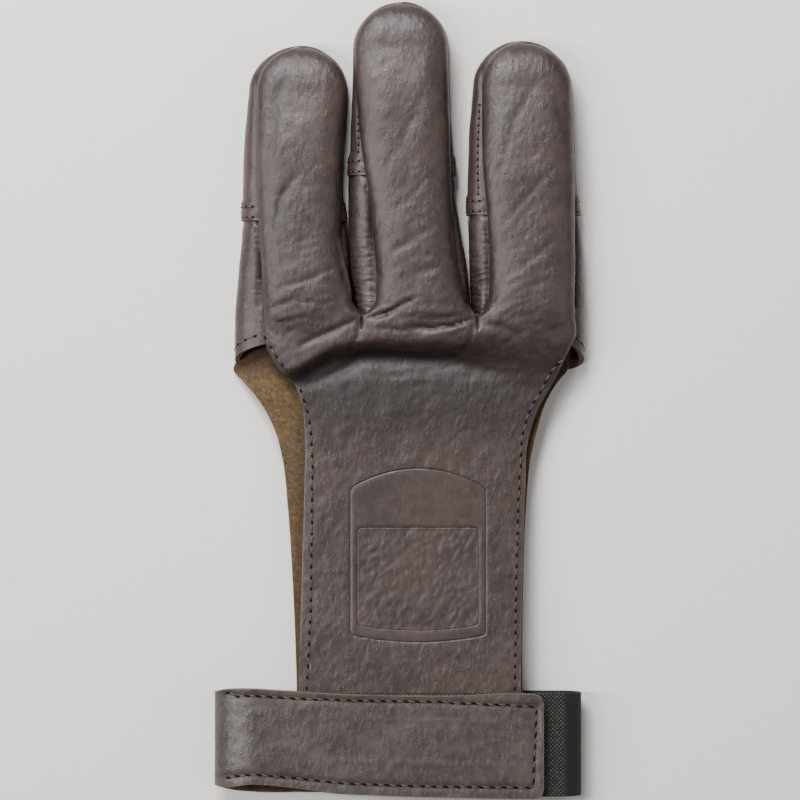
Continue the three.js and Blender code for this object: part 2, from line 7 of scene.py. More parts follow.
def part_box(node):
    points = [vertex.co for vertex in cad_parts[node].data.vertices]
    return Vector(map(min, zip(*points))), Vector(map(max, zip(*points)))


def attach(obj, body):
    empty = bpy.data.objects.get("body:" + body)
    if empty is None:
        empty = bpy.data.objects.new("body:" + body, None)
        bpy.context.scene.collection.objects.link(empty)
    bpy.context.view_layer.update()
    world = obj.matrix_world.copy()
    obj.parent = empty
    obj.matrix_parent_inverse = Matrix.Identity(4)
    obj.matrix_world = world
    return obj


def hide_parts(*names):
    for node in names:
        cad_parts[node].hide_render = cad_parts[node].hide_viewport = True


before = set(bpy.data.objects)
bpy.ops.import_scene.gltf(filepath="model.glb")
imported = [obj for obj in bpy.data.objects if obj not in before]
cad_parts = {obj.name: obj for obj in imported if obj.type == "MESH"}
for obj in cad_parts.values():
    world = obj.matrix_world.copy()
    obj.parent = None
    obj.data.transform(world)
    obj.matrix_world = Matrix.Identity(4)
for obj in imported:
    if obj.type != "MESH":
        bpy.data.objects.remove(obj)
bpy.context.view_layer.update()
MILLIMETRE = 0.001

# Back panel: one piece of soft grained hide, from the wrist over the hand and round all three
# fingertips. It was cut flat and sewn down along its edges, so it stands in an arch over each
# finger, is gathered where the stalls meet, and drops to the flat of the hand behind the knuckles.
MIDDLE_LENGTH = 86.9
INDEX_LENGTH = 74.8
RING_LENGTH = 76.1
HAND_LENGTH = 104
STRAP_WIDTH = 28.9
STALL_WIDTH = 27.5
MIDDLE_CENTRE = 0.6
INDEX_CENTRE = MIDDLE_CENTRE - STALL_WIDTH - 2.3
RING_CENTRE = MIDDLE_CENTRE + STALL_WIDTH + 6.1
STALL_HEIGHT = 16
TIP_RADIUS = 12.8
TIP_HEIGHT = 0.45 * STALL_HEIGHT
EDGE_HEIGHT = 0.62 * STALL_HEIGHT
PANEL_LEATHER = 1.3
TIP_RIM = 0.55
PANEL_LEVEL = 10.3
PANEL_REACH = 1.2
EDGE_CURL = 0.5
KNUCKLE_RUN = 5
STRAP_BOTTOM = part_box("wrist_strap")[0][1] / MILLIMETRE
CROTCH_LINE = STRAP_BOTTOM + STRAP_WIDTH + HAND_LENGTH
PITCH = 0.66
FINGER_COLUMNS = 48
TIP_ROWS = 18
ROUNDED_SHARE = 0.22
SHARP_ANGLE = np.radians(55)
MOST_OF_FLAT = 0.99


class Table:
    """Rows of numbers under named columns, read smoothly between the rows."""

    def __init__(self, columns, rows):
        self.columns = columns.split()
        self.rows = np.array(rows, dtype=float)

    def at(self, column, place):
        x = self.rows[:, 0]
        y = self.rows[:, self.columns.index(column)]
        slope = np.gradient(y, x)
        i = np.clip(np.searchsorted(x, place, side="right") - 1, 0, len(x) - 2)
        gap = x[i + 1] - x[i]
        t = np.clip((place - x[i]) / gap, 0, 1)
        near = (1 + 2 * t) * (1 - t) ** 2 * y[i] + t * (1 - t) ** 2 * gap * slope[i]
        far = t * t * (3 - 2 * t) * y[i + 1] - t * t * (1 - t) * gap * slope[i + 1]
        return near + far


def mix(a, b, share):
    return a + (b - a) * share


def smooth(low, high, value):
    t = np.clip((value - low) / (high - low), 0, 1)
    return t * t * (3 - 2 * t)


def fading(distance, width):
    """1 on the spot, and less over that width with the distance from it."""
    return np.exp(-((distance / width) ** 2))


def crowded(count, amount):
    """Shares from 0 to 1 across a skin, closer together towards its two edges."""
    t = np.linspace(0, 1, count)[None, :]
    return (mix(2 * t - 1, -np.cos(np.pi * t), amount) + 1) / 2


def lengths_along(line):
    return np.concatenate([[0], np.cumsum(np.linalg.norm(np.diff(line, axis=0), axis=1))])


def unrolled(line):
    return float(np.linalg.norm(np.diff(line, axis=0), axis=1).sum())


# A row is a section of a stall. The first column is a share of the finger's length, the outlines and
# seams are shares of STALL_WIDTH from the stall's middle, the heights are shares of STALL_HEIGHT.
STALL = "along left_out left_seam right_seam right_out top left_edge right_edge left_lap right_lap"


class Stall:
    """One finger stall, with the formulas that give the points of its skins."""

    def __init__(self, name, length, centre, tip, hem, rows):
        self.name = name
        self.length = length
        self.centre = centre
        self.pole = centre + tip * STALL_WIDTH
        self.hem = hem
        self.table = Table(STALL, rows)

    def size(self, column, along):
        return self.table.at(column, along)

    def across(self, column, along):
        return self.centre + STALL_WIDTH * self.table.at(column, along)

    def stations(self, first):
        """Rows from a share of the length up to the round tip, and on round it by angle."""
        round_from = self.table.rows[-1, 0]
        count = int((round_from - first) * self.length / PITCH)
        straight = np.linspace(first, round_from, count)
        turns = np.linspace(0, np.pi / 2, TIP_ROWS)[1:]
        along = np.concatenate([straight, np.full(len(turns), round_from)])
        turn = np.concatenate([np.zeros(count), turns])
        return along[:, None], turn[:, None]

    def place(self, along, turn, radius, height, x, z):
        """Points in space, drawn in to the fingertip's pole as the turn grows to a right angle."""
        near = np.cos(turn)
        y = CROTCH_LINE + along * self.length + radius * np.sin(turn)
        return np.stack(
            np.broadcast_arrays(mix(self.pole, x, near), y, mix(height, z, near)), axis=-1
        )


index = Stall("index", INDEX_LENGTH, INDEX_CENTRE, 0.07, 0.355, [
    [0.0, -0.6, -0.32, 0.68, 0.68, 0.98, 0.62, 0.84, 1, 0],
    [0.04, -0.595, -0.32, 0.6, 0.61, 1.0, 0.62, 0.74, 1, 0.5],
    [0.1, -0.58, -0.325, 0.565, 0.585, 1.0, 0.63, 0.62, 1, 1],
    [0.18, -0.56, -0.33, 0.52, 0.558, 0.99, 0.64, 0.54, 1, 1],
    [0.28, -0.53, -0.35, 0.475, 0.544, 0.96, 0.65, 0.5, 1, 1],
    [0.39, -0.52, -0.36, 0.48, 0.505, 0.94, 0.65, 0.47, 1, 1],
    [0.5, -0.52, -0.37, 0.48, 0.49, 0.92, 0.64, 0.46, 1, 1],
    [0.66, -0.5, -0.38, 0.5, 0.51, 0.88, 0.58, 0.45, 1, 1],
    [0.829, -0.46, -0.38, 0.53, 0.54, 0.79, 0.5, 0.45, 1, 1],
])
middle = Stall("middle", MIDDLE_LENGTH, MIDDLE_CENTRE, 0.005, 0.45, [
    [0.0, -0.404, -0.404, 0.753, 0.753, 0.98, 0.84, 0.84, 0, 0],
    [0.012, -0.45, -0.36, 0.72, 0.735, 1.0, 0.8, 0.8, 0.3, 0.3],
    [0.035, -0.495, -0.295, 0.665, 0.7, 1.02, 0.73, 0.74, 0.6, 0.6],
    [0.09, -0.52, -0.265, 0.61, 0.675, 1.02, 0.66, 0.66, 1, 1],
    [0.16, -0.53, -0.27, 0.56, 0.65, 1.01, 0.64, 0.59, 1, 1],
    [0.26, -0.54, -0.3, 0.52, 0.6, 0.99, 0.65, 0.53, 1, 1],
    [0.38, -0.54, -0.33, 0.5, 0.54, 0.96, 0.65, 0.5, 1, 1],
    [0.47, -0.535, -0.38, 0.49, 0.53, 0.94, 0.64, 0.47, 1, 1],
    [0.6, -0.515, -0.43, 0.48, 0.5, 0.92, 0.6, 0.45, 1, 1],
    [0.73, -0.5, -0.46, 0.47, 0.48, 0.88, 0.55, 0.45, 1, 1],
    [0.853, -0.495, -0.48, 0.46, 0.47, 0.79, 0.5, 0.45, 1, 1],
])
ring = Stall("ring", RING_LENGTH, RING_CENTRE, -0.03, 0.37, [
    [0.0, -0.469, -0.469, 0.513, 0.607, 0.98, 0.84, 0.62, 0, 1],
    [0.012, -0.5, -0.43, 0.513, 0.607, 0.99, 0.8, 0.62, 0.3, 1],
    [0.035, -0.525, -0.385, 0.513, 0.607, 1.0, 0.72, 0.62, 0.6, 1],
    [0.09, -0.54, -0.355, 0.513, 0.607, 1.0, 0.64, 0.61, 1, 1],
    [0.17, -0.545, -0.35, 0.515, 0.6, 0.98, 0.64, 0.58, 1, 1],
    [0.27, -0.555, -0.355, 0.515, 0.585, 0.95, 0.65, 0.54, 1, 1],
    [0.4, -0.565, -0.38, 0.515, 0.55, 0.93, 0.65, 0.5, 1, 1],
    [0.52, -0.56, -0.41, 0.515, 0.527, 0.92, 0.64, 0.47, 1, 1],
    [0.66, -0.55, -0.42, 0.5, 0.51, 0.88, 0.58, 0.45, 1, 1],
    [0.832, -0.51, -0.42, 0.475, 0.487, 0.79, 0.5, 0.45, 1, 1],
])
stalls = [index, middle, ring]


def meet_at_crotch(left, right):
    """Neighbouring stalls share one point at their crotch, half way between what their rows say."""
    place = (left.across("right_seam", 0) + right.across("left_seam", 0)) / 2
    left.table.rows[0, 3:5] = (place - left.centre) / STALL_WIDTH
    right.table.rows[0, 1:3] = (place - right.centre) / STALL_WIDTH


meet_at_crotch(index, middle)
meet_at_crotch(middle, ring)
KNUCKLE_LEFT = index.across("left_seam", 0)
KNUCKLE_WIDTH = ring.across("right_seam", 0) - KNUCKLE_LEFT


def across_hand(share):
    return KNUCKLE_LEFT + share * KNUCKLE_WIDTH


def down_hand(share):
    return CROTCH_LINE - share * HAND_LENGTH


def arch(across, power):
    return (1 - np.minimum(np.abs(across), 1) ** power) ** (1 / power)


def finger_back(stall):
    """The panel over a finger, arched from its left seam to its right one."""
    along, turn = stall.stations(0)
    share = crowded(FINGER_COLUMNS + 1, 0.55)
    x = mix(stall.across("left_seam", along), stall.across("right_seam", along), share)
    edge = STALL_HEIGHT * mix(stall.size("left_edge", along), stall.size("right_edge", along), share)
    top = STALL_HEIGHT * stall.size("top", along)
    z = mix(edge, top, arch(2 * share - 1, 3))
    return stall.place(along, turn, TIP_RADIUS - TIP_RIM, TIP_HEIGHT, x, z)


# The hand from the crotch line (down 0) to the strap (down 1) and on under it: its sides as shares of
# the knuckles' width, its height as a share of STALL_HEIGHT, and how near it is to the wrist's level.
hand_table = Table("down left right height wrist", [
    [0.0, 0.0, 1.0, 0.62, 0],
    [0.056, 0.0, 1.0, 0.61, 0],
    [0.077, 0.01, 0.988, 0.6, 0],
    [0.112, 0.031, 0.967, 0.59, 0],
    [0.143, 0.056, 0.948, 0.59, 0],
    [0.158, 0.07, 0.939, 0.6, 0],
    [0.168, 0.091, 0.933, 0.61, 0],
    [0.18, 0.103, 0.926, 0.61, 0],
    [0.2, 0.114, 0.912, 0.61, 0],
    [0.24, 0.127, 0.885, 0.6, 0],
    [0.32, 0.136, 0.852, 0.57, 0],
    [0.46, 0.134, 0.842, 0.55, 0],
    [0.64, 0.128, 0.834, 0.55, 0.1],
    [0.82, 0.122, 0.829, 0.56, 0.6],
    [0.96, 0.118, 0.827, 0.58, 1],
    [1.2, 0.118, 0.827, 0.58, 1],
])
# Where the knuckles' roll ends: across and brow are places in millimetres, run is the drop's length.
roll_table = Table("across brow run", [
    [-40, 9.0, 3.0],
    [-33, 8.2, 3.0],
    [-29, 8.8, 3.6],
    [-25, 11.2, 4.6],
    [-19, 14.8, 5.0],
    [-10, 16.8, 6.0],
    [6, 17.0, 6.4],
    [15, 17.2, 7.5],
    [22, 18.5, 11],
    [31, 19.5, 16],
    [49, 18, 16],
])
ROLL_HEIGHT = 15.2


def hand_level(down):
    """The hand panel's height before its edges curl."""
    return mix(hand_table.at("height", down) * STALL_HEIGHT, PANEL_LEVEL, hand_table.at("wrist", down))


def edge_curl(share, down):
    """How far the hand panel droops towards its two edges. It lies level under the strap."""
    return EDGE_CURL * (1 - hand_table.at("wrist", down)) * (1 - arch(2 * share - 1, 2.5))


def hand_back(knuckles):
    """The panel over the hand, from the row of points in which the fingers end."""
    down = np.linspace(0, PANEL_REACH, int(PANEL_REACH * HAND_LENGTH / PITCH))[:, None]
    share = (knuckles[:, 0] - knuckles[0, 0]) / (knuckles[-1, 0] - knuckles[0, 0])
    x = across_hand(mix(hand_table.at("left", down), hand_table.at("right", down), share))
    y = down_hand(down) + 0 * x
    flat = hand_level(down) - edge_curl(share, down)
    roll = mix(EDGE_HEIGHT, ROLL_HEIGHT, arch(2 * share - 1, 4))
    rounded = mix(knuckles[:, 2], roll, smooth(CROTCH_LINE, CROTCH_LINE - KNUCKLE_RUN, y))
    brow = roll_table.at("brow", x)
    z = mix(flat, rounded, 1 - smooth(brow, brow - roll_table.at("run", x), y))
    grid = np.stack([x, y, z], axis=-1)
    grid[0] = knuckles
    return grid[::-1]


def put(name, data):
    """An object of that name, in the scene."""
    made = bpy.data.objects.new(name, data)
    bpy.context.collection.objects.link(made)
    return made


class Skin:
    """A skin of leather made of grids of points, welded where they meet, with its outer side out."""

    def __init__(self, *grids):
        points = np.concatenate([grid.reshape(-1, 3) for grid in grids])
        kept = np.unique(np.round(points, 3) + 0.0, axis=0, return_index=True, return_inverse=True)
        weld = kept[2].reshape(-1)
        self.points = points[kept[1]]
        quads = []
        start = 0
        for grid in grids:
            rows, columns = grid.shape[:2]
            at = weld[start : start + rows * columns].reshape(rows, columns)
            corners = [at[:-1, :-1], at[:-1, 1:], at[1:, 1:], at[1:, :-1]]
            quads.append(np.stack(corners, axis=-1).reshape(-1, 4))
            start += rows * columns
        self.quads = np.concatenate(quads)

    def faces(self):
        plain = (tuple(dict.fromkeys(quad)) for quad in self.quads.tolist())
        return [face for face in plain if len(face) > 2]

    def normals(self):
        a, b, c, d = (self.points[self.quads[:, k]] for k in range(4))
        face = np.cross(c - a, d - b)
        total = np.zeros_like(self.points)
        for k in range(4):
            np.add.at(total, self.quads[:, k], face)
        return total / np.maximum(np.linalg.norm(total, axis=1, keepdims=True), 1e-9)

    def raise_by(self, height):
        """Moves the skin out along its normals, but never through what the glove lies on."""
        self.points = self.points + self.normals() * height[:, None]
        self.points[:, 2] = np.maximum(self.points[:, 2], 0)

    def tree(self):
        return BVHTree.FromPolygons(self.points.tolist(), self.faces())

    def area(self):
        """The outer side's area in square metres."""
        a, b, c, d = (self.points[self.quads[:, k]] for k in range(4))
        return float(np.linalg.norm(np.cross(c - a, d - b), axis=1).sum() / 2) * MILLIMETRE**2

    def piece(self, name, slot, thickness, finish, marks, replaced, raw_edge=False):
        """The skin as an object of that thickness, with its face, flesh and edge finishes."""
        mesh = bpy.data.meshes.new(name)
        mesh.from_pydata((self.points * MILLIMETRE).tolist(), [], self.faces())
        mesh.polygons.foreach_set("use_smooth", [True] * len(mesh.polygons))
        for key, values in marks.items():
            mark = mesh.attributes.new(key, "FLOAT", "POINT")
            mark.data.foreach_set("value", np.asarray(values, dtype=np.float32))
        for material in finish:
            mesh.materials.append(material)
        piece = put(name, mesh)
        solid = piece.modifiers.new("thickness", "SOLIDIFY")
        solid.thickness = thickness * MILLIMETRE
        solid.offset = -1
        solid.material_offset = 1
        solid.material_offset_rim = 2
        if "skived" in marks:
            thin = piece.vertex_groups.new(name="skived")
            for k, weight in enumerate(marks["skived"]):
                thin.add([k], float(weight), "REPLACE")
            solid.vertex_group = "skived"
        rounding = piece.modifiers.new("rounded edge", "BEVEL")
        rounding.width = ROUNDED_SHARE * thickness * MILLIMETRE
        rounding.material = 2 if raw_edge else -1
        rounding.segments = 2
        rounding.limit_method = "ANGLE"
        rounding.angle_limit = SHARP_ANGLE
        rounding.harden_normals = True
        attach(piece, "root")
        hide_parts(replaced)
        return piece


def declare(skin, across, along):
    """A leather's flat width and length, from two lines over it, unrolled, and its area, capped at most of
    their product. Nothing is done with them.
    """
    width, length = (unrolled(line) * MILLIMETRE for line in (across, along))
    area = min(skin.area(), MOST_OF_FLAT * width * length)


def line_mark(points, line, width, taper=True):
    """How near each point is to a line of places, from 0 to 1, fading towards the line's two ends."""
    line = np.array(line, dtype=float)
    starts = lengths_along(line)
    nearest = np.full(len(points), np.inf)
    place = np.zeros(len(points))
    for a, b, start, step in zip(line[:-1], line[1:], starts[:-1], np.diff(starts)):
        t = np.clip(((points[:, :2] - a) @ (b - a)) / step**2, 0, 1)
        distance = np.linalg.norm(points[:, :2] - a - t[:, None] * (b - a), axis=1)
        closer = distance < nearest
        nearest = np.where(closer, distance, nearest)
        place = np.where(closer, (start + t * step) / starts[-1], place)
    fade = np.sqrt(np.clip(np.sin(np.pi * (0.06 + 0.88 * place)), 0, 1)) if taper else 1
    return fading(nearest, width) * fade


def field(points, along, across, angle, seed):
    """Soft noise of about -1 to 1, with cells of two lengths that lie at an angle in degrees."""
    turn = np.radians(angle)
    u = (points[:, 0] * np.cos(turn) + points[:, 1] * np.sin(turn)) / along
    v = (points[:, 1] * np.cos(turn) - points[:, 0] * np.sin(turn)) / across
    w = points[:, 2] / across
    return np.array([noise.noise((a, b, c + seed)) for a, b, c in zip(u, v, w)])


def wrinkles(points, along, across, angle, seed):
    """Thin valleys between soft swellings, from -1 to 0."""
    return -np.clip(1 - 2.6 * np.abs(field(points, along, across, angle, seed)), 0, 1) ** 1.5


# Depths of the finer relief. Where there are two, they are those at the crotches and at the tips.
RIM_RISE = 0.35
SLANT_DEPTHS = (0.13, 0.035)
ROLL_SLANT_DEPTH = 0.1
KNUCKLE_FOLD_DEPTH = 0.2
CRACKLE_DEPTH = 0.07
SWELL = 0.13
DIMPLES = (0.08, 0.03)
# Creases and ridges of the gathers, in millimetres: depth, width, and the places they run through.
creases = [
    (0.7, 0.8, [(-12.4, 21.9), (-18.2, 19.1), (-23.1, 17.2), (-27.2, 15.0)]),
    (0.35, 0.8, [(-10.7, 21.9), (-11.6, 17.5), (-13.6, 14.0)]),
    (0.8, 0.6, [(-9.4, 22.6), (-3.9, 23.6), (0.3, 26.0), (4.0, 27.6)]),
    (0.8, 0.6, [(20.1, 22.4), (15.4, 20.6), (8.5, 19.7), (3.0, 20.2)]),
    (0.35, 0.8, [(20.2, 20.5), (19.4, 16.5), (17.2, 13.0)]),
    (-0.5, 0.8, [(-12.0, 24.3), (-10.4, 23.2), (-9.2, 22.2)]),
    (-0.3, 0.8, [(-7.4, 22.0), (-1.6, 22.4), (3.2, 24.4)]),
    (-0.25, 0.9, [(7.5, 17.6), (12.4, 18.2), (17.0, 19.9), (19.4, 21.2)]),
    (-0.3, 0.6, [(-6.0, 18.6), (0.5, 18.0), (5.4, 18.6)]),
    (0.3, 0.5, [(-5.0, 19.6), (0.5, 19.1), (5.0, 19.5)]),
    (0.3, 0.6, [(6.0, 22.2), (11.0, 22.4), (16.4, 23.4)]),
    (0.4, 0.9, [(22.3, 21.3), (27.8, 19.9), (33.0, 17.6)]),
    (0.35, 0.8, [(-37.0, 24.5), (-29.0, 27.5), (-19.5, 26.0)]),
    (0.3, 0.8, [(-36.0, 20.5), (-27.0, 22.6), (-17.0, 21.6)]),
    (0.3, 0.9, [(-33.0, 31.0), (-24.0, 33.5), (-17.0, 37.5)]),
    (-0.35, 1.2, [(-8.0, 21.4), (-2.5, 20.4), (3.4, 20.0)]),
    (-0.25, 1.1, [(5.8, 17.4), (12.1, 18.6), (18.6, 20.8)]),
    (-0.4, 1.3, [(2.5, 22.4), (8.3, 24.2), (16.0, 24.0)]),
    (0.9, 1.7, [
        (-27.6, 4.4), (-22.3, 5.4), (-16.6, 8.2), (-10.7, 11.6), (-3.9, 11.6), (6, 10.8), (15, 11),
    ]),
    (0.14, 0.9, [(-5.2, 6.2), (4.4, 7.4), (14.6, 9.4), (20.0, 9.6)]),
    (0.1, 0.9, [(2.0, 3.6), (14.0, 5.4), (23.0, 6.6)]),
    (0.35, 1.6, [(-31.5, 88.5), (-34.6, 81.5), (-35.0, 68.0), (-36.5, 64.0)]),
    (-0.25, 1.2, [(-30.5, 71.9), (-33.0, 69.0), (-36.0, 64.0)]),
    (0.3, 1.0, [(-28.0, 62.0), (-32.5, 56.0), (-34.5, 47.0)]),
    (0.15, 1.1, [(8.0, 88.0), (2.0, 74.0), (-5.0, 62.0)]),
    (0.16, 1.0, [(12.0, 66.0), (4.0, 57.0), (-6.0, 49.0)]),
    (0.18, 1.0, [(12.0, 49.0), (2.0, 43.0), (-6.0, 38.5)]),
    (0.18, 1.0, [(15.0, 38.0), (5.0, 35.0), (-3.0, 31.0)]),
    (0.15, 1.1, [(38.0, 88.0), (31.0, 76.0), (27.0, 62.0)]),
    (0.16, 1.0, [(44.0, 66.0), (35.0, 56.0), (28.0, 48.0)]),
    (0.16, 1.0, [(44.0, 45.0), (35.0, 38.0), (26.0, 32.0)]),
]

# The pressed place on the hand, left bare: a smooth plate with an arched top and foot, and a
# sunken field of plain grain in its lower part.
PRESS_CENTRE = 5.0
PRESS_HALF = 18.7
PRESS_TOP = -18.9
PRESS_TOP_RISE = 5.4
PRESS_FOOT = -66.7
PRESS_FOOT_RISE = 1.9
FIELD_TOP = -35.2
FIELD_MARGIN = 2.0
PLATE_RAISED = 0.04
GROOVE_DEPTH = 0.12
FIELD_DEPTH = 0.16
FIELD_CRUMPLE = 0.13


def inside_press(points, margin, top):
    """The depth within the plate's outline, less a margin, and below a straight top if one is given."""
    from_middle = (points[:, 0] - PRESS_CENTRE) / PRESS_HALF
    head = PRESS_TOP - PRESS_TOP_RISE * from_middle**2 if top is None else top
    foot = PRESS_FOOT + PRESS_FOOT_RISE * from_middle**2
    side = PRESS_HALF - np.abs(points[:, 0] - PRESS_CENTRE) - margin
    down_in = head - points[:, 1] - (margin if top is None else 0)
    up_in = points[:, 1] - foot - 1.6 * margin
    return -0.5 * np.log(np.exp(-2 * side) + np.exp(-2 * down_in) + np.exp(-2 * up_in))


MIDDLE_COLUMN = FINGER_COLUMNS // 2
backs = [finger_back(stall) for stall in stalls]
knuckle_row = np.concatenate([backs[0][0], backs[1][0][1:], backs[2][0][1:]])
hand = hand_back(knuckle_row)
back_skin = Skin(*backs, hand)
p = back_skin.points
on_finger = smooth(CROTCH_LINE - 6, CROTCH_LINE + 6, p[:, 1])
tipward = smooth(CROTCH_LINE, CROTCH_LINE + 70, p[:, 1])
relief = np.zeros(len(p))
# Painted shade on the back panel: in its creases, grooves and shaded bands.
painted_shade_amount = np.zeros(len(p))
rim_lines = [
    [(-16.6, 44.0), (-15.3, 37.0), (-13.6, 30.0), (-12.0, 25.4)],
    [(-6.8, 34.0), (-7.2, 29.0), (-8.6, 25.2)],
    [(14.6, 46.0), (16.6, 36.0), (18.6, 28.0), (20.2, 23.6)],
]
rim_light = sum(line_mark(p, line, 0.5) for line in rim_lines)
relief += RIM_RISE * rim_light
# Each crease dents the hide, and those that are hollows also get painted shade in them.
for depth, width, line in creases:
    near = line_mark(p, line, width)
    relief -= depth * near
    painted_shade_amount += max(depth, 0) * near
slanted = mix(wrinkles(p, 8, 1.9, 18, 3.0), wrinkles(p, 9, 2.2, 58, 8.0), tipward)
crackle = wrinkles(p, 3.2, 2.2, 10, 15.0)
at_roll = smooth(8, 16, p[:, 1]) * smooth(34, 22, p[:, 1])
knuckle_fold = at_roll * smooth(-13, -6, p[:, 0]) * smooth(23, 16, p[:, 0])
relief += (on_finger * mix(*SLANT_DEPTHS, tipward) + ROLL_SLANT_DEPTH * at_roll) * slanted
relief += KNUCKLE_FOLD_DEPTH * knuckle_fold * wrinkles(p, 3.4, 1.3, 12, 91.0)
relief += (1 - on_finger) * CRACKLE_DEPTH * crackle + SWELL * field(p, 14, 7, 60, 21.0)
relief += mix(*DIMPLES, tipward) * field(p, 4, 2.6, 30, 27.0)
plate = inside_press(p, 0, None)
sunken = inside_press(p, FIELD_MARGIN, FIELD_TOP)
on_plate = smooth(-0.3, 0.3, plate)
in_field = smooth(-0.35, 0.35, sunken)
groove = fading(plate, 0.42) + 0.5 * fading(sunken + 0.3, 0.4)
crumple = wrinkles(p, 5, 1.7, 42, 71.0) + 0.6 * wrinkles(p, 3, 1.2, 10, 73.0)
relief -= on_plate * relief * (1 - 0.6 * in_field)
relief += PLATE_RAISED * on_plate - GROOVE_DEPTH * groove
relief += in_field * (FIELD_CRUMPLE * crumple - FIELD_DEPTH)
# Painted shade in the plate's groove and in the field's crumpled hollows.
painted_shade_amount += 0.15 * groove - 0.1 * in_field * crumple
# Painted shade in bands across the glove, below the knuckle roll and low on the fingers. A row says how
# much, then where the band begins and where it is full, from its one side and from its other.
painted_shade_bands = [
    (0.42, -18, 6, 20, 12),
    (0.16, 66, 40, 14, 24),
    (0.28, -16, -2, 10, 5),
]
for amount, start, full, far_start, far_full in painted_shade_bands:
    painted_shade_amount += amount * smooth(start, full, p[:, 1]) * smooth(far_start, far_full, p[:, 1])
back_skin.raise_by(relief)


class Value:
    """A socket in a material's nodes. Arithmetic on it adds the Math nodes."""

    def __init__(self, tree, socket=None):
        self.tree = tree
        self.socket = socket

    def node(self, kind, settings, sockets, out=0):
        """Adds a node: its settings are set first, then its sockets are filled or linked."""
        made = self.tree.nodes.new("ShaderNode" + kind)
        for name, value in settings.items():
            setattr(made, name, value)
        for name, value in sockets.items():
            if isinstance(value, Value):
                self.tree.links.new(value.socket, made.inputs[name])
            else:
                made.inputs[name].default_value = value
        return Value(self.tree, made.outputs[out])

    def math(self, operation, first, second):
        return self.node("Math", {"operation": operation}, {0: first, 1: second})

    def __add__(self, other):
        return self.math("ADD", self, other)

    __radd__ = __add__

    def __mul__(self, other):
        return self.math("MULTIPLY", self, other)

    __rmul__ = __mul__

    def __sub__(self, other):
        return self.math("SUBTRACT", self, other)

    def __rsub__(self, other):
        return self.math("SUBTRACT", other, self)

    def between(self, low, high):
        """0 below low, 1 above high, smooth between them."""
        sockets = {"Value": self, "From Min": low, "From Max": high}
        return self.node("MapRange", {"interpolation_type": "SMOOTHSTEP"}, sockets)

    def tint(self, first, second):
        """A colour from the first to the second as this value goes from 0 to 1."""
        settings = {"data_type": "RGBA", "clamp_factor": True}
        return self.node("Mix", settings, {0: self, 6: first, 7: second}, 2)

    def mark(self, name):
        return self.node("Attribute", {"attribute_name": name}, {}, "Fac")

    def sway(self, scale, reach):
        """This place, shifted by a soft noise, so that a texture on it doesn't lie in rows."""
        noise = self.node("TexNoise", {}, {"Vector": self, "Scale": scale, "Detail": 3.0}, "Color")
        sockets = {0: noise, 1: (reach, reach, reach), 2: self}
        return self.node("VectorMath", {"operation": "MULTIPLY_ADD"}, sockets)

    def drawn_out(self, slant, scale):
        """This place, turned and squeezed, so that a texture on it is drawn out at a slant."""
        sockets = {"Vector": self, "Rotation": (0, 0, slant), "Scale": scale}
        return self.node("Mapping", {}, sockets)

    def noise(self, place, size, detail=2.0, rough=0.5):
        sockets = {"Vector": place, "Scale": 1 / size, "Detail": detail, "Roughness": rough}
        return self.node("TexNoise", {}, sockets)


def start_material(name, roughness, specular=0.5):
    """A new material's shader and a place in millimetres to hang its textures on."""
    material = bpy.data.materials.new(name)
    material.use_nodes = True
    tree = material.node_tree
    shader = tree.nodes["Principled BSDF"]
    shader.inputs["Roughness"].default_value = roughness
    shader.inputs["Specular IOR Level"].default_value = specular
    place = Value(tree).node("TexCoord", {}, {}, "Object")
    place = place.node("VectorMath", {"operation": "SCALE"}, {0: place, "Scale": 1 / MILLIMETRE})
    return material, shader, place


def finish_material(shader, color, height, roughness=None):
    """Links what varies: the colour, a bump from a height in millimetres, and the roughness."""
    links = color.tree.links
    bump = height.node("Bump", {}, {"Distance": MILLIMETRE, "Height": height})
    links.new(color.socket, shader.inputs["Base Color"])
    links.new(bump.socket, shader.inputs["Normal"])
    if roughness:
        links.new(roughness.socket, shader.inputs["Roughness"])


def rgb(red, green, blue):
    """A colour given in the 0 to 255 steps of a paint chart, as the linear values of a shader."""
    steps = np.array([red, green, blue]) / 255
    linear = np.where(steps < 0.04, steps / 12.92, ((steps + 0.055) / 1.055) ** 2.4)
    return (*linear.tolist(), 1.0)


def shade(color, share):
    """A colour that is darker all over, by that share."""
    return (*(share * c for c in color[:3]), 1)


# The pressed place's lines, with how far each one's groove reaches in millimetres.
PLATE_LINES = [("plate_edge", 0.45), ("field_edge", 0.3)]
LINE_DEPTH = 0.11


def away(place, key):
    """How far a point is from a line, on either side of it, in millimetres."""
    return place.math("ABSOLUTE", place.mark(key), 0.0)


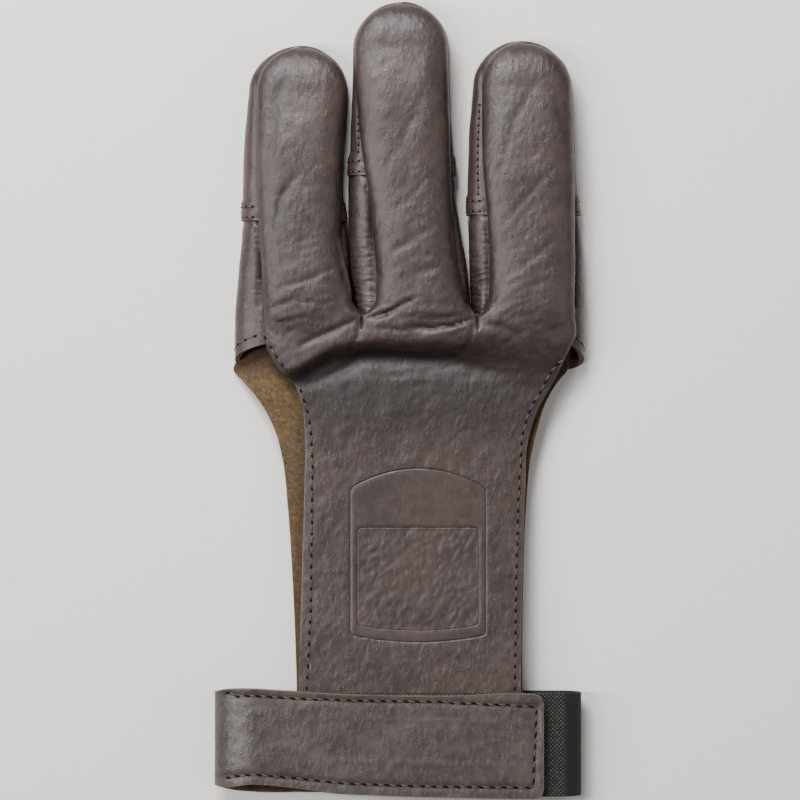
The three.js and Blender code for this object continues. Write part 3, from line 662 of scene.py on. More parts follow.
def leather(name, dark, light, wear_and_highlight, cell, grain, gloss, crumple_depth, slant=-0.6, plate=False):
    """Grained hide: pebbles between fine grooves, short slanting wrinkles, pores, an uneven polish."""
    material, shader, place = start_material(name, gloss, 0.42)
    warped = place.sway(0.7, 1.6)
    edges = {"Vector": warped, "Scale": 1 / cell, "Randomness": 1.0}
    pebble = place.node("TexVoronoi", {"feature": "DISTANCE_TO_EDGE"}, edges).between(0.0, 0.35)
    streak = place.noise(warped.drawn_out(slant, (1, 0.3, 0.5)), 0.55, 2.0)
    fine = place.noise(place, 0.2, 2.0)
    cloud = place.noise(place, 14, 3.0)
    blotch = place.noise(place, 2.6, 3.0)
    painted_shade = place.mark("painted_shade")
    wear_and_highlight_mark = place.mark("wear_and_highlight")
    presence = place.noise(place, 5, 1.0).between(0.3, 0.6)
    flat = 1 - 0.75 * place.mark("pressed")
    tilted = warped.drawn_out(slant, (1, 0.5, 0.7))
    crumple = place.noise(tilted, 1.3, 3.0, 0.5)
    domes = {"Vector": tilted, "Scale": 0.5 / cell, "Smoothness": 0.5}
    dome = 1 - place.node("TexVoronoi", {"feature": "SMOOTH_F1"}, domes)
    pebbled = 0.35 * pebble * (0.3 + 0.7 * presence) + 1.8 * dome * presence
    folds = crumple_depth * crumple * (0.3 + 0.7 * presence)
    height = flat * (grain * (pebbled + 0.7 * streak + 0.45 * fine) + folds)
    deep = shade(dark, 0.4)
    color = (0.6 * cloud + 0.4 * blotch).between(0.35, 0.65).tint(dark, light)
    color = ((1 - pebble) * presence * flat * 0.22).tint(color, deep)
    # Painted shade in the crumples' hollows.
    color = ((1 - crumple.between(0.3, 0.55)) * flat * 0.3).tint(color, deep)
    if plate:
        lines = sum((1 - away(place, key).between(0.0, reach) for key, reach in PLATE_LINES), 0.0)
        height = height - LINE_DEPTH * lines
        # Painted shade in the pressed lines' grooves.
        color = (0.55 * lines).tint(color, deep)
    # Painted shade darkens it in creases, grooves and shaded bands; wear and painted highlights lighten it.
    color = painted_shade.tint(color, shade(dark, 0.25))
    color = (wear_and_highlight_mark * (0.6 + 0.4 * fine)).tint(color, wear_and_highlight)
    rough = gloss - 0.07 + 0.14 * blotch + 0.12 * painted_shade
    finish_material(shader, color, height, rough)
    return material


def hide(name, color, size, depth, roughness):
    """Cut edges and flesh sides: matt fibre, mottled and lightly napped."""
    material, shader, place = start_material(name, roughness, 0.25)
    nap = place.noise(place, size, 4.0, 0.65)
    cloud = place.noise(place, 5, 2.0)
    tone = (0.55 * nap + 0.45 * cloud).between(0.32, 0.66).tint(shade(color, 0.5), color)
    finish_material(shader, tone, depth * nap)
    return material


back_face = leather(
    "grained_brown", rgb(45, 35, 32), rgb(60, 47, 44), rgb(116, 98, 92), 0.58, 0.06, 0.43, 0.065, plate=True
)
cut_edge = hide("cut_edge", rgb(88, 69, 61), 0.3, 0.06, 0.8)
flesh_side = hide("flesh_side", rgb(84, 62, 50), 0.5, 0.1, 0.95)


def worn_edges(skin, reach, strength):
    """A mark that is strongest beside a skin's open edges."""
    pairs = np.concatenate([skin.quads[:, [k, (k + 1) % 4]] for k in range(4)])
    pairs = pairs[pairs[:, 0] != pairs[:, 1]]
    keys, counts = np.unique(np.sort(pairs, axis=1), axis=0, return_counts=True)
    rim = np.unique(keys[counts == 1])
    tree = BVHTree.FromPolygons(
        [tuple(skin.points[i]) for i in rim], [(k, k, k) for k in range(len(rim))]
    )
    far = reach * 3
    apart = np.array([tree.find_nearest(Vector(point), far)[3] or far for point in skin.points])
    return strength * fading(apart, reach)


# The marks: painted shade in creases, grooves and bands; wear beside the open edges, and a painted
# highlight along the rim lines at the crotches.
back_marks = {
    "painted_shade": np.clip(painted_shade_amount, 0, 1),
    "wear_and_highlight": np.clip(worn_edges(back_skin, 0.4, 0.25) + 0.6 * rim_light, 0, 1),
    "pressed": on_plate * (1 - 0.6 * in_field),
    "plate_edge": plate,
    "field_edge": sunken,
}
back_finish = (back_face, flesh_side, cut_edge)
back_leather = back_skin.piece(
    "back_leather", "glove_leather", PANEL_LEATHER, back_finish, back_marks, "back_panel"
)
back_line = np.concatenate([hand[:, len(knuckle_row) // 2], backs[1][:, MIDDLE_COLUMN]])
declare(back_skin, knuckle_row, back_line)

# Fingertip leathers: thicker, smoother hide that wraps the underside of each fingertip. It ends in a
# turned hem of two rows of stitches, which laps the palm leather, and meets the back panel's edge.
TIP_LEATHER = 1.6
EDGE_LAP = 3.2
HEM_LAP = 4.5
HEM_RISE = 0.5
HEM_ROWS = (0.8, 3.7)
HEM_ROW_DIP = 0.22
TIP_SEAM_DIP = 0.3
TIP_SWELL = 0.14
SEAM_ROOM = 0.08
GAP = 0.3
CORNER = 4
WALL_HEIGHT = 0.2 * STALL_HEIGHT
SKIVED = 0.45
WALL_TURNS = np.linspace(0, np.pi / 2, 15)[None, :]
CORNER_TURNS = np.linspace(0, np.pi / 2, 8)[None, 1:]
FLOOR_STEPS = np.linspace(0, 1, 18)[None, 1:-1]
WALL_POINTS = WALL_TURNS.size + CORNER_TURNS.size
ROUNDING = 2 / 2.8


def rise(turn):
    return np.sin(turn) ** ROUNDING


def fall(turn):
    return np.maximum(np.cos(turn), 0) ** ROUNDING


def wall(stall, side, along, inset):
    """Half a lower skin in rows of x and z: from under the panel's edge, out, and down to the floor."""
    inward = 1 if side == "left" else -1
    out = stall.across(side + "_out", along)
    lap = np.clip(stall.size(side + "_lap", along), 0, 1)
    tuck = stall.across(side + "_seam", along) + inward * EDGE_LAP * lap
    sink = np.maximum(inset, 0)
    near = np.minimum(1, 2 * lap)
    under_panel = STALL_HEIGHT * stall.size(side + "_edge", along) - SEAM_ROOM
    top = under_panel - PANEL_LEATHER * (1 - near) - sink
    face = out + inward * inset * near
    foot = out + inward * CORNER * lap
    x = [mix(tuck, face, rise(WALL_TURNS)), mix(foot, face, fall(CORNER_TURNS))]
    z = [mix(WALL_HEIGHT, top, fall(WALL_TURNS)), mix(WALL_HEIGHT, sink, rise(CORNER_TURNS))]
    return np.concatenate(x, axis=1), np.concatenate(z, axis=1)


def lower_skin(stall, along, inset):
    """A whole lower skin in rows of x and z: left wall, flat underside, right wall."""
    left_x, left_z = wall(stall, "left", along, inset)
    right_x, right_z = wall(stall, "right", along, inset)
    floor_x = mix(left_x[:, -1:], right_x[:, -1:], FLOOR_STEPS)
    floor_z = left_z[:, -1:] + 0 * FLOOR_STEPS
    x = np.concatenate([left_x, floor_x, right_x[:, ::-1]], axis=1)
    return x, np.concatenate([left_z, floor_z, right_z[:, ::-1]], axis=1)


def seam_groove(points, reach):
    """How near a wall's points are to the edge of the back panel that is sewn down on them."""
    along = (points[:, 1] - CROTCH_LINE) / stall.length
    apart = np.full(len(points), 9.0)
    for side in ("left", "right"):
        apart = np.minimum(apart, np.abs(points[:, 0] - stall.across(side + "_seam", along)))
    return fading(apart, reach) * (points[:, 2] > 4) * (along > 0.03)


tip_face = leather(
    "fingertip_brown", rgb(50, 39, 36), rgb(64, 50, 47), rgb(116, 92, 84), 0.55, 0.038, 0.41, 0.04
)
tuck = 1 - rise(WALL_TURNS)
tucked_in = np.zeros((1, 2 * WALL_POINTS + FLOOR_STEPS.size))
tucked_in[:, : tuck.size] = tuck
tucked_in[:, -tuck.size :] = tuck[:, ::-1]
tip_skins = {}
for stall in stalls:
    along, turn = stall.stations(stall.hem)
    hem_end = stall.hem + HEM_LAP / stall.length
    proud = HEM_RISE * (1 - smooth(hem_end, hem_end + 0.02, along)) * (1 - smooth(0, 0.1, turn))
    x, z = lower_skin(stall, along, -proud)
    grid = stall.place(along, turn, TIP_RADIUS - EDGE_LAP * tucked_in, TIP_HEIGHT - SEAM_ROOM, x, z)
    skin = Skin(grid[:, ::-1])
    p = skin.points
    from_hem = p[:, 1] - CROTCH_LINE - stall.hem * stall.length
    rows = sum(fading(from_hem - row, 0.5) for row in HEM_ROWS)
    groove = seam_groove(p, 0.5)
    skin.raise_by(TIP_SWELL * field(p, 7, 4, 60, 31.0) - HEM_ROW_DIP * rows - TIP_SEAM_DIP * groove)
    on_hem = smooth(HEM_LAP, HEM_LAP - 0.6, from_hem)
    # Painted shade in the hem's stitch rows and in the groove beside the panel's edge; wear at the open
    # edges and the hem.
    marks = {
        "painted_shade": np.clip(0.5 * rows + 0.7 * groove, 0, 1),
        "wear_and_highlight": worn_edges(skin, 0.4, 0.35) + 0.03 * on_hem,
        "skived": mix(1, SKIVED, smooth(HEM_LAP + 2, HEM_LAP - 1, from_hem)),
    }
    name = stall.name + "_tip_leather"
    finish = (tip_face, flesh_side, cut_edge)
    tip = skin.piece(name, "fingertip_leather", TIP_LEATHER, finish, marks, stall.name + "_fingertip")
    declare(skin, grid[0], grid[:, grid.shape[1] // 2])
    tip_skins[stall.name] = skin

# Palm leather: the piece under the fingers, with a trough for each and the hemmed mouth that the
# fingers go in at. Its sides stand up to the back panel's edge, and it is gathered at the crotches.
PALM_LEATHER = 1.3
TUCKED = SKIVED * TIP_LEATHER - HEM_RISE + SEAM_ROOM
MOUTH_DEPTH = 14.5
NOTCH_DEPTH = 7.2
MOUTH_HEM = 2.9
MOUTH_ROWS = 22
PALM_PITCH = 0.36
GATHER_PERIOD = 1.8
GATHER_DEPTH = 0.3
WALL_CREASE_DEPTH = 0.12
WALL_SWELL = 0.15
PALM_SEAM_DIP = 0.75
MOUTH_ROW_DIP = 0.25


def palm_finger(stall):
    """The palm leather under a finger, up to where it lies under the fingertip leather's hem."""
    last = stall.hem + HEM_LAP / stall.length
    along = np.linspace(0, last, int(last * stall.length / PALM_PITCH))[:, None]
    from_hem = (along - stall.hem) * stall.length
    inset = TUCKED * smooth(-2.5, -0.3, from_hem)
    x, z = lower_skin(stall, along, inset)
    return stall.place(along, 0 * along, TIP_RADIUS, TIP_HEIGHT, x, z)


troughs = [palm_finger(stall) for stall in stalls]
last = WALL_POINTS - 1
floors = [trough[0][last : len(trough[0]) - last] for trough in troughs]
mouth_row = np.concatenate(
    [troughs[0][0][:last], floors[0], floors[1][1:], floors[2][1:], troughs[2][0][-last:]]
)
column = np.arange(len(mouth_row))
from_side = np.minimum(np.minimum(column, column[::-1]), last) / last
drop = mix(NOTCH_DEPTH, MOUTH_DEPTH, from_side)
ALONG = np.array([0, 1, 0])
down_mouth = np.linspace(0, 1, MOUTH_ROWS)[:, None, None]
mouth = mouth_row[None] - down_mouth * (drop[:, None] * ALONG)[None]
palm_skin = Skin(*[trough[:, ::-1] for trough in troughs], mouth[::-1, ::-1])
p = palm_skin.points
near_crotch = sum(fading(p[:, 0] - x, 6) * fading(p[:, 1] - 29, 13) for x in (-10, 20))
near_crotch = near_crotch * smooth(1.0, 3.0, p[:, 2])
phase = 2 * np.pi * p[:, 1] / GATHER_PERIOD + 5 * field(p, 4, 3, 0, 44.0)
ripple = -((0.5 + 0.5 * np.cos(phase)) ** 2) * (0.5 + 0.5 * smooth(-0.3, 0.2, field(p, 5, 3, 0, 45.0)))
across_wall = smooth(0.5, 2, p[:, 2]) * smooth(12, 24, p[:, 1])
gathers = wrinkles(p, 7, 1.3, 5, 49.0)
groove = np.zeros(len(p))
for stall in stalls:
    groove = np.maximum(groove, seam_groove(p, 0.6))
wall_relief = across_wall * (WALL_CREASE_DEPTH * gathers + WALL_SWELL * field(p, 9, 6, 70, 47.0))
hem_row = fading(p[:, 1] - CROTCH_LINE + MOUTH_DEPTH - MOUTH_HEM, 0.5) * (p[:, 2] < 1)
palm_relief = GATHER_DEPTH * near_crotch * ripple + wall_relief
palm_skin.raise_by(palm_relief - PALM_SEAM_DIP * groove - MOUTH_ROW_DIP * hem_row)
palm_face = leather(
    "palm_brown", rgb(44, 34, 32), rgb(58, 45, 42), rgb(112, 92, 82), 0.58, 0.045, 0.44, 0.05
)
# Painted shade in the gathers' hollows, between the fingers at the crotches, and in the seam groove.
palm_marks = {
    "painted_shade": np.clip(-0.5 * near_crotch * ripple + 0.1 * near_crotch + 0.95 * groove, 0, 1),
    "wear_and_highlight": worn_edges(palm_skin, 0.45, 0.3),
}
palm_finish = (palm_face, flesh_side, cut_edge)
palm = palm_skin.piece(
    "palm_leather", "palm_leather", PALM_LEATHER, palm_finish, palm_marks, "palm_panel"
)
under_middle = troughs[1][:, troughs[1].shape[1] // 2]
palm_line = np.concatenate([mouth[::-1, len(mouth_row) // 2], under_middle])
declare(palm_skin, mouth_row, palm_line)

# Hand lining: a thin split with its napped side up, stitched under the hand panel. It shows beyond
# the panel's edges and droops at the mouth's two corners.
LINING_LEATHER = 1.0
LINING_SWELL = 0.1
LINING_ROWS = 170
LINING_COLUMNS = 84
lining_table = Table("down left right left_sag right_sag", [
    [0.06, 0.02, 0.975, 0.2, 0.16],
    [0.085, -0.045, 0.99, 0.24, 0.16],
    [0.112, -0.08, 0.98, 0.25, 0.14],
    [0.14, -0.096, 0.979, 0.34, 0.1],
    [0.172, -0.064, 0.947, 0.26, 0.05],
    [0.22, -0.015, 0.912, 0.15, 0.03],
    [0.3, 0.038, 0.881, 0.06, 0.02],
    [0.38, 0.064, 0.859, 0.03, 0.02],
    [0.5, 0.08, 0.845, 0.02, 0.02],
    [0.7, 0.096, 0.835, 0.02, 0.01],
    [0.86, 0.105, 0.832, 0.02, 0.01],
    [0.96, 0.109, 0.832, 0, 0],
    [1.2, 0.109, 0.832, 0, 0],
])
down = np.linspace(lining_table.rows[0, 0], PANEL_REACH, LINING_ROWS)[:, None]
share = crowded(LINING_COLUMNS, 0.7)
lining_x = mix(lining_table.at("left", down), lining_table.at("right", down), share)
panel_left = hand_table.at("left", down)
panel_share = np.clip((lining_x - panel_left) / (hand_table.at("right", down) - panel_left), 0, 1)
highest = mix(EDGE_HEIGHT, PANEL_LEVEL, hand_table.at("wrist", down))
level = np.minimum(hand_level(down), highest) - edge_curl(panel_share, down)
left_sag = lining_table.at("left_sag", down) * np.maximum(0, 1 - share / 0.2) ** 2
right_sag = lining_table.at("right_sag", down) * np.maximum(0, 1 - (1 - share) / 0.12) ** 2
room = 0.05 * STALL_HEIGHT * np.maximum(0, 1 - down / 0.2) + 0.25
lining_z = level - PANEL_LEATHER - GAP - room - STALL_HEIGHT * (left_sag + right_sag)
lining_grid = np.stack(
    np.broadcast_arrays(across_hand(lining_x), down_hand(down), lining_z), axis=-1
)
lining_skin = Skin(lining_grid[::-1])
p = lining_skin.points
lining_skin.raise_by(LINING_SWELL * field(p, 4, 3, 20, 51.0))


def napped(name, yellow, red, deep):
    """Suede: tangled short fibres that lie in tufts, yellowish and reddish by turns, dark between."""
    material, shader, place = start_material(name, 0.95, 0.15)
    combed = place.sway(0.8, 2)
    fibres = place.noise(combed, 0.24, 5.0, 0.7)
    tufts = place.noise(combed, 1.1, 3.0, 0.6)
    tone = place.noise(place, 3.0, 3.0).between(0.35, 0.62).tint(yellow, red)
    color = (0.55 * fibres + 0.45 * tufts).between(0.68, 0.32).tint(tone, deep)
    # Painted shade, as marked on the piece.
    color = (0.75 * place.mark("painted_shade")).tint(color, deep)
    finish_material(shader, color, 0.35 * fibres + 0.3 * tufts)
    return material


suede = napped("suede_nap", rgb(116, 97, 68), rgb(106, 86, 65), rgb(60, 47, 34))
suede_edge = hide("suede_edge", rgb(150, 132, 108), 0.3, 0.06, 0.9)
lining_under = leather(
    "lining_brown", rgb(44, 34, 32), rgb(58, 46, 43), rgb(118, 98, 88), 0.7, 0.05, 0.5, 0.08
)
panel_side = across_hand(hand_table.at("left", (CROTCH_LINE - p[:, 1]) / HAND_LENGTH))
beside_panel = fading(np.maximum(0, panel_side - p[:, 0]), 2.4)
# Painted shade beside the hand panel's edge and over the lining's end towards the fingers, under the roll
# and hem.
lining_marks = {"painted_shade": np.clip(0.7 * beside_panel + 0.8 * smooth(5.5, 10.5, p[:, 1]), 0, 1)}
lining_finish = (suede, lining_under, suede_edge)
lining = lining_skin.piece(
    "suede_lining", "suede", LINING_LEATHER, lining_finish, lining_marks, "hand_lining", raw_edge=True
)
widest = int(np.argmax(lining_grid[:, -1, 0] - lining_grid[:, 0, 0]))
lining_line = lining_grid[:, LINING_COLUMNS // 2]
declare(lining_skin, lining_grid[widest], lining_line)

# Wrist strap: a firm strap of smoother hide. From its join with the elastic it runs along the far
# side, folds round at the left and closes over the front, with stitches along its edges and its end.
STRAP_LEATHER = 1.5
STRAP_LEVEL = 14.8
strap_low, strap_high = (np.array(corner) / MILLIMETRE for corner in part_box("wrist_strap"))
STRAP_END = strap_high[0]
FAR_END = 20.7
FOLD_REACH = 11.5
STRAP_CORNER = 2.6
STRAP_SWELL = 0.14
STRAP_CREASE_DEPTH = 0.03
STRAP_SEAM_DIP = 0.3
RIDGE_RISE = 0.1
STRAP_COLUMNS = 44
front_edges = Table("across top bottom", [
    [-51.2, -80.0, -105.6],
    [-48.4, -79.5, -106.3],
    [-41.0, -79.2, -105.6],
    [-33.8, -79.6, -106.0],
    [-26.7, -80.0, -106.8],
    [-19.8, -80.5, -107.8],
    [-5.5, -81.0, -108.6],
    [15.4, -81.1, -109.2],
    [31.6, -80.5, -109.5],
    [39.6, -80.9, -109.6],
])
far_edges = Table("across top bottom", [
    [-51.2, -80.6, -106.9],
    [-47.0, -80.8, -108.0],
    [-40.7, -81.2, -108.6],
    [-26.7, -81.4, -108.7],
    [1.4, -81.4, -109.2],
    [29.4, -81.4, -109.9],
])


def band(path, top, bottom, columns):
    """A band's outer skin: a path of x and z, swept in y between its top and bottom edges."""
    y = mix(bottom[:, None], top[:, None], np.linspace(0, 1, columns)[None, :])
    x = path[:, :1] + 0 * y
    z = path[:, 1:] + 0 * y
    return np.stack([x, y, z], axis=-1)[:, ::-1]


fold_turn = np.linspace(-np.pi / 2, np.pi / 2, 44)[1:-1]
fold_x = strap_low[0] + FOLD_REACH * (1 - np.cos(fold_turn))
fold_z = STRAP_LEVEL * (1 + np.sin(fold_turn)) / 2
far_x = np.linspace(FAR_END, strap_low[0] + FOLD_REACH, 80)
front_x = np.linspace(strap_low[0] + FOLD_REACH, STRAP_END, 124)
strap_path = np.concatenate([
    np.stack([far_x, 0 * far_x], axis=1),
    np.stack([fold_x, fold_z], axis=1),
    np.stack([front_x, STRAP_LEVEL + 0 * front_x], axis=1),
])
on_front = smooth(0, STRAP_LEVEL, strap_path[:, 1])
past_corner = (strap_path[:, 0] - STRAP_END + STRAP_CORNER) / STRAP_CORNER
corner_place = np.clip(past_corner, 0, 1) * (on_front > 0.5)
rounded_corner = STRAP_CORNER * (1 - np.sqrt(1 - corner_place**2))
strap_top, strap_bottom = (
    mix(far_edges.at(edge, strap_path[:, 0]), front_edges.at(edge, strap_path[:, 0]), on_front)
    for edge in ("top", "bottom")
)
strap_band = band(strap_path, strap_top - rounded_corner, strap_bottom + rounded_corner, STRAP_COLUMNS)
strap_skin = Skin(strap_band)
strap_sewing = [
    (-49.8, -81.2),
    (-48.4, -81.1),
    (-40.0, -81.2),
    (-27.0, -82.0),
    (-12.6, -82.6),
    (10.0, -82.9),
    (37.6, -84.2),
    (37.0, -96.0),
    (36.6, -106.4),
    (10.0, -106.1),
    (-12.6, -105.4),
    (-30.0, -103.8),
    (-40.0, -102.9),
    (-48.4, -103.4),
    (-49.8, -103.5),
]
p = strap_skin.points
in_front = smooth(6, 10, p[:, 2])
seam_dip = line_mark(p, strap_sewing, 0.8, taper=False) * in_front
swelling = STRAP_SWELL * field(p, 16, 8, 5, 61.0)
strap_relief = swelling + STRAP_CREASE_DEPTH * wrinkles(p, 5, 3, 60, 64.0) - STRAP_SEAM_DIP * seam_dip
long_ridges = [[(-12, -87.2), (34, -88.4)], [(-22, -98.6), (36, -100.5)]]
ridge = RIDGE_RISE * sum(line_mark(p, line, 0.6) for line in long_ridges) * in_front
strap_skin.raise_by(strap_relief + ridge)
strap_face = leather(
    "strap_brown", rgb(55, 48, 46), rgb(72, 63, 60), rgb(112, 97, 88), 0.6, 0.06, 0.35, 0.03, -0.9
)
strap_edge = hide("strap_cut_edge", rgb(104, 88, 72), 0.3, 0.06, 0.8)
# Painted shade along the stitch groove; lighter with wear at the open edges and along the two long ridges.
strap_marks = {
    "painted_shade": 0.35 * seam_dip,
    "wear_and_highlight": np.clip(worn_edges(strap_skin, 0.45, 0.25) + ridge, 0, 1),
}
strap_finish = (strap_face, flesh_side, strap_edge)
strap = strap_skin.piece(
    "strap_leather", "strap_leather", STRAP_LEATHER, strap_finish, strap_marks, "wrist_strap", raw_edge=True
)

# Elastic: a black woven band, sewn to the hand panel's end and laid round the right side of the
# wrist to the strap's far end. Its face shows beyond the strap as staggered dots of weft.
ELASTIC = 1.2
ELASTIC_LEVEL = 11.8
BAND_REACH = 6.4
JOIN_START = 29.6
JOIN_FULL = 24.0
JOIN_END = 6.9
HIDDEN_NARROWER = 3.2
THREADS = 1.1
band_low, band_high = (np.array(corner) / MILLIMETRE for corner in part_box("wrist_band"))
turn = np.linspace(np.pi / 2, -np.pi / 2, 40)[1:-1]
fold_start = band_high[0] - BAND_REACH
top_x = np.linspace(band_low[0], fold_start, 90)
turned_x = band_high[0] - BAND_REACH * (1 - np.cos(turn))
under_x = np.concatenate([np.linspace(fold_start, 30.5, 18), np.linspace(29.5, JOIN_END, 30)])
over_strap = (STRAP_LEATHER + GAP + 0.05) * smooth(JOIN_START, JOIN_FULL, under_x)
elastic_path = np.concatenate([
    np.stack([top_x, ELASTIC_LEVEL + 0 * top_x], axis=1),
    np.stack([turned_x, ELASTIC_LEVEL * (1 + np.sin(turn)) / 2], axis=1),
    np.stack([under_x, over_strap], axis=1),
])
run = lengths_along(elastic_path)
elastic_top = np.full(len(elastic_path), band_high[1])
hidden_end = smooth(26, 12, run)
elastic_bottom = band_low[1] + HIDDEN_NARROWER * hidden_end
elastic_skin = Skin(band(elastic_path, elastic_top, elastic_bottom, 50))


def weave(name):
    """Black woven elastic: rows of short threads, each row half a thread on from the last."""
    material, shader, place = start_material(name, 0.75, 0.3)
    across = place.mark("weave_across")
    along = place.mark("weave_along")
    row = along.math("FLOOR", along * (2 / THREADS), 0.0)
    shifted = across + row * (THREADS / 2)
    beat = across.math("COSINE", shifted * (2 * np.pi / THREADS), 0.0)
    swell = across.math("COSINE", along * (4 * np.pi / THREADS), 0.0)
    dot = ((beat + 1) * (1 - swell) * 0.25).between(0.25, 0.85)
    plain = place.mark("plain")
    shown = dot * (1 - plain)
    fuzz = place.noise(place, 0.2, 3.0)
    lit = place.noise(place, 0.7, 2.0).between(0.3, 0.7)
    rib = across.math("COSINE", along * (8 * np.pi / THREADS), 0.0).between(0.2, 1.0)
    color = (rib * 0.3 * fuzz).tint(rgb(17, 17, 17), rgb(56, 56, 54))
    color = (shown * (0.2 + 0.65 * lit)).tint(color, rgb(132, 134, 128))
    finish_material(shader, color, 0.2 * shown + 0.05 * fuzz + 0.05 * rib)
    return material


elastic_weave = weave("black_weave")
p = elastic_skin.points
to_path = BVHTree.FromPolygons(
    [(x, 0.0, z) for x, z in elastic_path], [(k, k, k) for k in range(len(elastic_path))]
)
nearest = [to_path.find_nearest((x, 0.0, z))[2] for x, _, z in p.tolist()]
elastic_marks = {
    "weave_along": run[nearest],
    "weave_across": p[:, 1] - band_low[1],
    "plain": smooth(band_high[0] - 5.5, band_high[0] - 4.0, p[:, 0]),
}
elastic = elastic_skin.piece(
    "woven_elastic", "black_elastic", ELASTIC, 3 * [elastic_weave], elastic_marks, "wrist_band"
)

# Hook tape: the fastener patch sewn under the strap's end, which grips the elastic's face.
TAPE = 0.9
TAPE_CORNER = 2
patch_low, patch_high = (np.array(corner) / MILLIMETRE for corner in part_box("hook_patch"))
patch_x = np.linspace(patch_low[0], patch_high[0], 60)
patch_path = np.stack([patch_x, patch_high[2] + 0 * patch_x], axis=1)
patch_ends = np.minimum(patch_x - patch_x[0], patch_x[-1] - patch_x)
into_corner = np.maximum(0, TAPE_CORNER - patch_ends)
patch_round = TAPE_CORNER - np.sqrt(np.maximum(0, TAPE_CORNER**2 - into_corner**2))
patch_skin = Skin(band(patch_path, patch_high[1] - patch_round, patch_low[1] + patch_round, 40))
tape, tape_shader, place = start_material("hook_tape_black", 0.6)
hooks = place.node("TexVoronoi", {"feature": "F1"}, {"Vector": place, "Scale": 1.6}).between(0.15, 0.4)
finish_material(tape_shader, hooks.tint(rgb(58, 58, 58), rgb(18, 18, 18)), 0.3 * (1 - hooks))
patch_skin.piece("hook_tape", "hook_tape", TAPE, 3 * [tape], {}, "hook_patch")

# Stitches: waxed brown thread. Each stitch is a short oval between two holes, which the thread
# has pulled into slots along its line. Each hole is drawn as a dark oval of painted shadow.
THREAD_SIZE = (0.25, 0.24)
THREAD_SHARE = 0.33
THREAD_RISE = 0.04
HOLE_SIZE = (0.36, 0.1)
HOLE_SHARE = 0.2
UNEVEN = 0.18
UNDERSIDE_HEIGHT = 0.6
PANEL_STITCH = 3.05
STRAP_STITCH = 3.15
HEM_STITCH = 2.2
SEAM_STITCH = 1.9
MOUTH_STITCH = 3.0
thread_material, thread_shader, place = start_material("waxed_thread", 0.5)
strand = place.noise(place, 0.3, 2.0)
finish_material(thread_shader, strand.tint(rgb(46, 34, 32), rgb(80, 61, 57)), 0.06 * strand)
# The holes' near-black colour is painted shadow for the shaded inside of each slot.
hole_shadow_material, hole_shadow_shader, place = start_material("needle_hole_shadow", 0.9, 0.1)
dusk = place.noise(place, 0.4, 1.0)
finish_material(hole_shadow_shader, dusk.tint(rgb(16, 10, 9), rgb(26, 17, 15)), 0.02 * dusk)


def oval(rings, sides):
    """A unit ball as points and faces, from which each thread and hole is stretched."""
    polar = np.linspace(0, np.pi, rings + 1)[1:-1, None]
    round_it = np.linspace(0, 2 * np.pi, sides, endpoint=False)[None, :]
    body = np.stack(
        [-np.cos(polar) + 0 * round_it, np.sin(polar) * np.cos(round_it), np.sin(polar) * np.sin(round_it)],
        axis=-1,
    ).reshape(-1, 3)
    points = np.concatenate([body, [[-1, 0, 0], [1, 0, 0]]])
    faces = []
    for ring_at in range(rings - 2):
        for k in range(sides):
            a = ring_at * sides + k
            b = ring_at * sides + (k + 1) % sides
            faces.append((a, a + sides, b + sides, b))
    first, last_point = len(body), len(body) + 1
    top = (rings - 2) * sides
    faces += [(first, k, (k + 1) % sides) for k in range(sides)]
    faces += [(last_point, top + (k + 1) % sides, top + k) for k in range(sides)]
    return points, faces


def sew(name, lines):
    """Stitches on a skin. A line is (tree, places, pitch, slant, a hole's share of the pitch)."""
    ball, ball_faces = oval(6, 8)
    points, faces, kinds = [], [], []
    for tree, line, pitch, slant, hole_share in lines:
        line = np.array(line, dtype=float)
        length = lengths_along(line)
        count = max(2, int(round(length[-1] / pitch)))
        marks = np.linspace(0, length[-1], 2 * count + 1)
        spots = np.stack([np.interp(marks, length, line[:, k]) for k in range(3)], axis=1)
        found = [tree.find_nearest(Vector(spot)) for spot in spots]
        seats = np.array([hit[0] for hit in found])
        ups = np.array([hit[1] for hit in found])
        for k in range(1, len(seats) - 1):
            is_hole = k % 2
            way = seats[k + 1] - seats[k - 1]
            up = ups[k] / np.linalg.norm(ups[k])
            way = way - up * (way @ up)
            step = np.linalg.norm(way)
            if step < 0.2 * pitch:
                continue
            way = way / step
            side = np.cross(up, way)
            way, side = way + slant * side, side - slant * way
            jitter = 1 + UNEVEN * noise.noise(seats[k])
            long = jitter * (hole_share if is_hole else THREAD_SHARE) * pitch
            wide, high = HOLE_SIZE if is_hole else THREAD_SIZE
            if up[2] < -0.5:
                high *= UNDERSIDE_HEIGHT
            frame_of = np.array([way * long, side * wide, up * high])
            start = len(points)
            middle_at = seats[k] + up * (0.0 if is_hole else THREAD_RISE)
            points.extend((middle_at + ball @ frame_of).tolist())
            faces.extend([tuple(start + i for i in face) for face in ball_faces])
            kinds.extend([is_hole] * len(ball_faces))
    mesh = bpy.data.meshes.new(name)
    mesh.from_pydata((np.array(points) * MILLIMETRE).tolist(), [], faces)
    mesh.polygons.foreach_set("use_smooth", [True] * len(mesh.polygons))
    mesh.polygons.foreach_set("material_index", kinds)
    mesh.materials.append(thread_material)
    mesh.materials.append(hole_shadow_material)
    piece = put(name, mesh)
    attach(piece, "root")


def on_level(line, height):
    """A line at one height, from which the nearest spots on a skin are then found."""
    return [(x, y, height) for x, y in line]


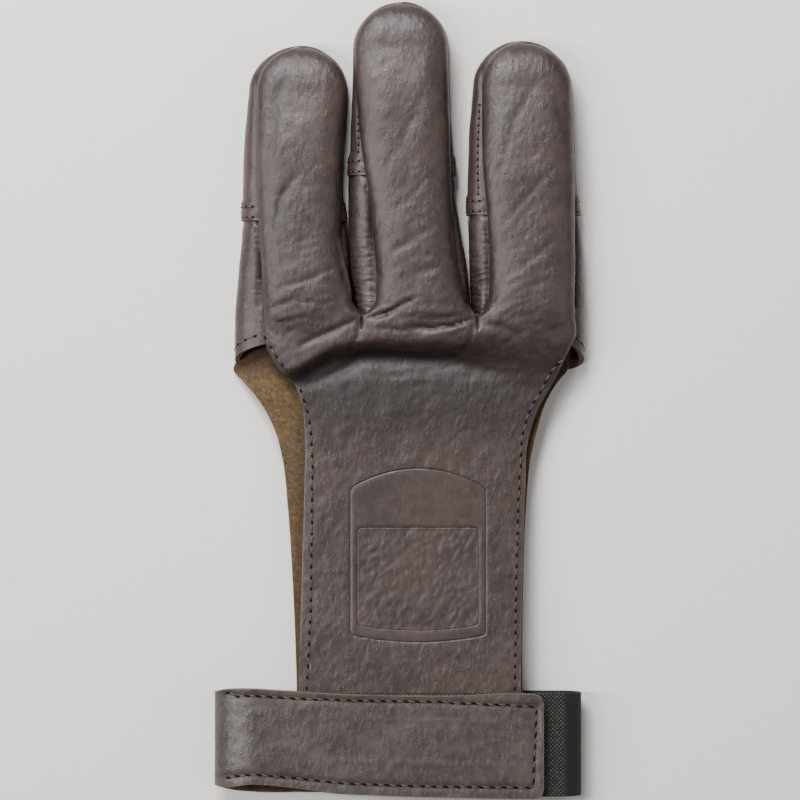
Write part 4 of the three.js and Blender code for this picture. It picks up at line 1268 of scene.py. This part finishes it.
back_tree = back_skin.tree()
left_line = [
    (-27.8, 4.0), (-26.0, -1.5), (-24.8, -6.6), (-24.2, -16), (-24.3, -30), (-24.6, -58), (-25.7, -81),
]
right_line = [
    (45.9, 13.6), (43.2, 10.6), (40.4, 5.6), (38.8, 2.2), (36.9, -0.7), (34.9, -5.3), (33.6, -11.1),
    (33.3, -18.8), (32.8, -28.5), (32.0, -52), (31.6, -81),
]
notch_line = [(-37.4, 18.4), (-34.6, 13.9), (-32.6, 11.2), (-30.9, 8.6)]
panel_sewing = [
    (back_tree, on_level(left_line, 10), PANEL_STITCH, 0.12, HOLE_SHARE),
    (back_tree, on_level(right_line, 10), PANEL_STITCH, -0.12, HOLE_SHARE),
    (back_tree, on_level(notch_line, 12), PANEL_STITCH, 0.0, 0.18),
]
sew("panel_stitches", panel_sewing)
strap_tree = strap_skin.tree()
strap_rows = [strap_sewing[:7], strap_sewing[6:9], strap_sewing[:7:-1]]
strap_lines = [(strap_tree, on_level(row, STRAP_LEVEL), STRAP_STITCH, -0.22, 0.29) for row in strap_rows]
sew("strap_stitches", strap_lines)


def seam_line(stall, side, first, last_share, turn_share):
    """A line on a lower skin's wall beside the back panel's edge."""
    along = np.linspace(first, last_share, 30)[:, None]
    x, z = wall(stall, side, along, 0 * along)
    at = int(turn_share * (WALL_TURNS.size - 1))
    points = stall.place(along, 0 * along, TIP_RADIUS, TIP_HEIGHT, x[:, at : at + 1], z[:, at : at + 1])
    return points[:, 0]


def hem_line(stall, from_hem):
    """A row of stitches round a fingertip leather, just inside its hem."""
    along = np.array([[stall.hem + from_hem / stall.length]])
    x, z = lower_skin(stall, along, -HEM_RISE)
    return stall.place(along, 0 * along, TIP_RADIUS, TIP_HEIGHT, x, z)[0][3:-3]


for stall in stalls:
    tree = tip_skins[stall.name].tree()
    lines = [(tree, hem_line(stall, row), HEM_STITCH, 0.0, HOLE_SHARE) for row in HEM_ROWS]
    if stall is not index:
        beside_seam = seam_line(stall, "left", stall.hem + 0.06, 0.78, 0.4)
        lines.append((tree, beside_seam, SEAM_STITCH, 0.0, HOLE_SHARE))
    sew(stall.name + "_tip_stitches", lines)
hem_inner = mouth_row - (drop[:, None] - MOUTH_HEM) * ALONG
palm_lines = [(palm_skin.tree(), hem_inner[2:-2], MOUTH_STITCH, 0.0, HOLE_SHARE)]
sew("palm_stitches", palm_lines)

# What the glove lies on, and the studio round it: a pale table, a strong light beyond the
# fingertips, a long narrow one at the left, a weak wide one at the right, and a camera straight above.
FLOOR_HALF = 1.2
floor_mesh = bpy.data.meshes.new("table_top")
corners = [(FLOOR_HALF * x, FLOOR_HALF * y, 0) for x, y in ((-1, -1), (1, -1), (1, 1), (-1, 1))]
floor_mesh.from_pydata(corners, [], [(0, 1, 2, 3)])
table_top = put("table_top", floor_mesh)
paper, paper_shader, place = start_material("pale_table", 0.8, 0.2)
grain = place.noise(place, 1.5, 3.0)
finish_material(paper_shader, grain.tint(rgb(214, 212, 208), rgb(222, 220, 216)), 0.01 * grain)
floor_mesh.materials.append(paper)


def area_light(name, place, aim, size, power):
    """A rectangular light that faces a place on the glove and isn't seen itself."""
    data = bpy.data.lights.new(name, "AREA")
    data.shape = "RECTANGLE"
    data.size, data.size_y = size
    data.energy = power
    lamp = put(name, data)
    lamp.location = place
    lamp.rotation_euler = (Vector(aim) - Vector(place)).to_track_quat("-Z", "Y").to_euler()
    lamp.visible_camera = False


area_light("key_light", (-0.16, 0.46, 0.52), (0, 0.06, 0), (0.3, 0.2), 8.4)
area_light("side_light", (-0.54, 0.0, 0.66), (0, 0, 0), (0.12, 0.7), 7.2)
area_light("fill_light", (0.6, -0.1, 0.6), (0, 0, 0), (0.7, 0.7), 2.0)
world = bpy.data.worlds.new("studio")
world.use_nodes = True
sky = world.node_tree.nodes["Background"]
sky.inputs["Color"].default_value = (1.0, 0.98, 0.95, 1)
sky.inputs["Strength"].default_value = 0.21
bpy.context.scene.world = world

CAMERA_HEIGHT = 1.234
LENS = 200
camera_data = bpy.data.cameras.new("camera")
camera_data.lens = LENS
camera_data.sensor_width = 36
camera = put("camera", camera_data)
camera.location = (0, 0, CAMERA_HEIGHT)
bpy.context.scene.camera = camera
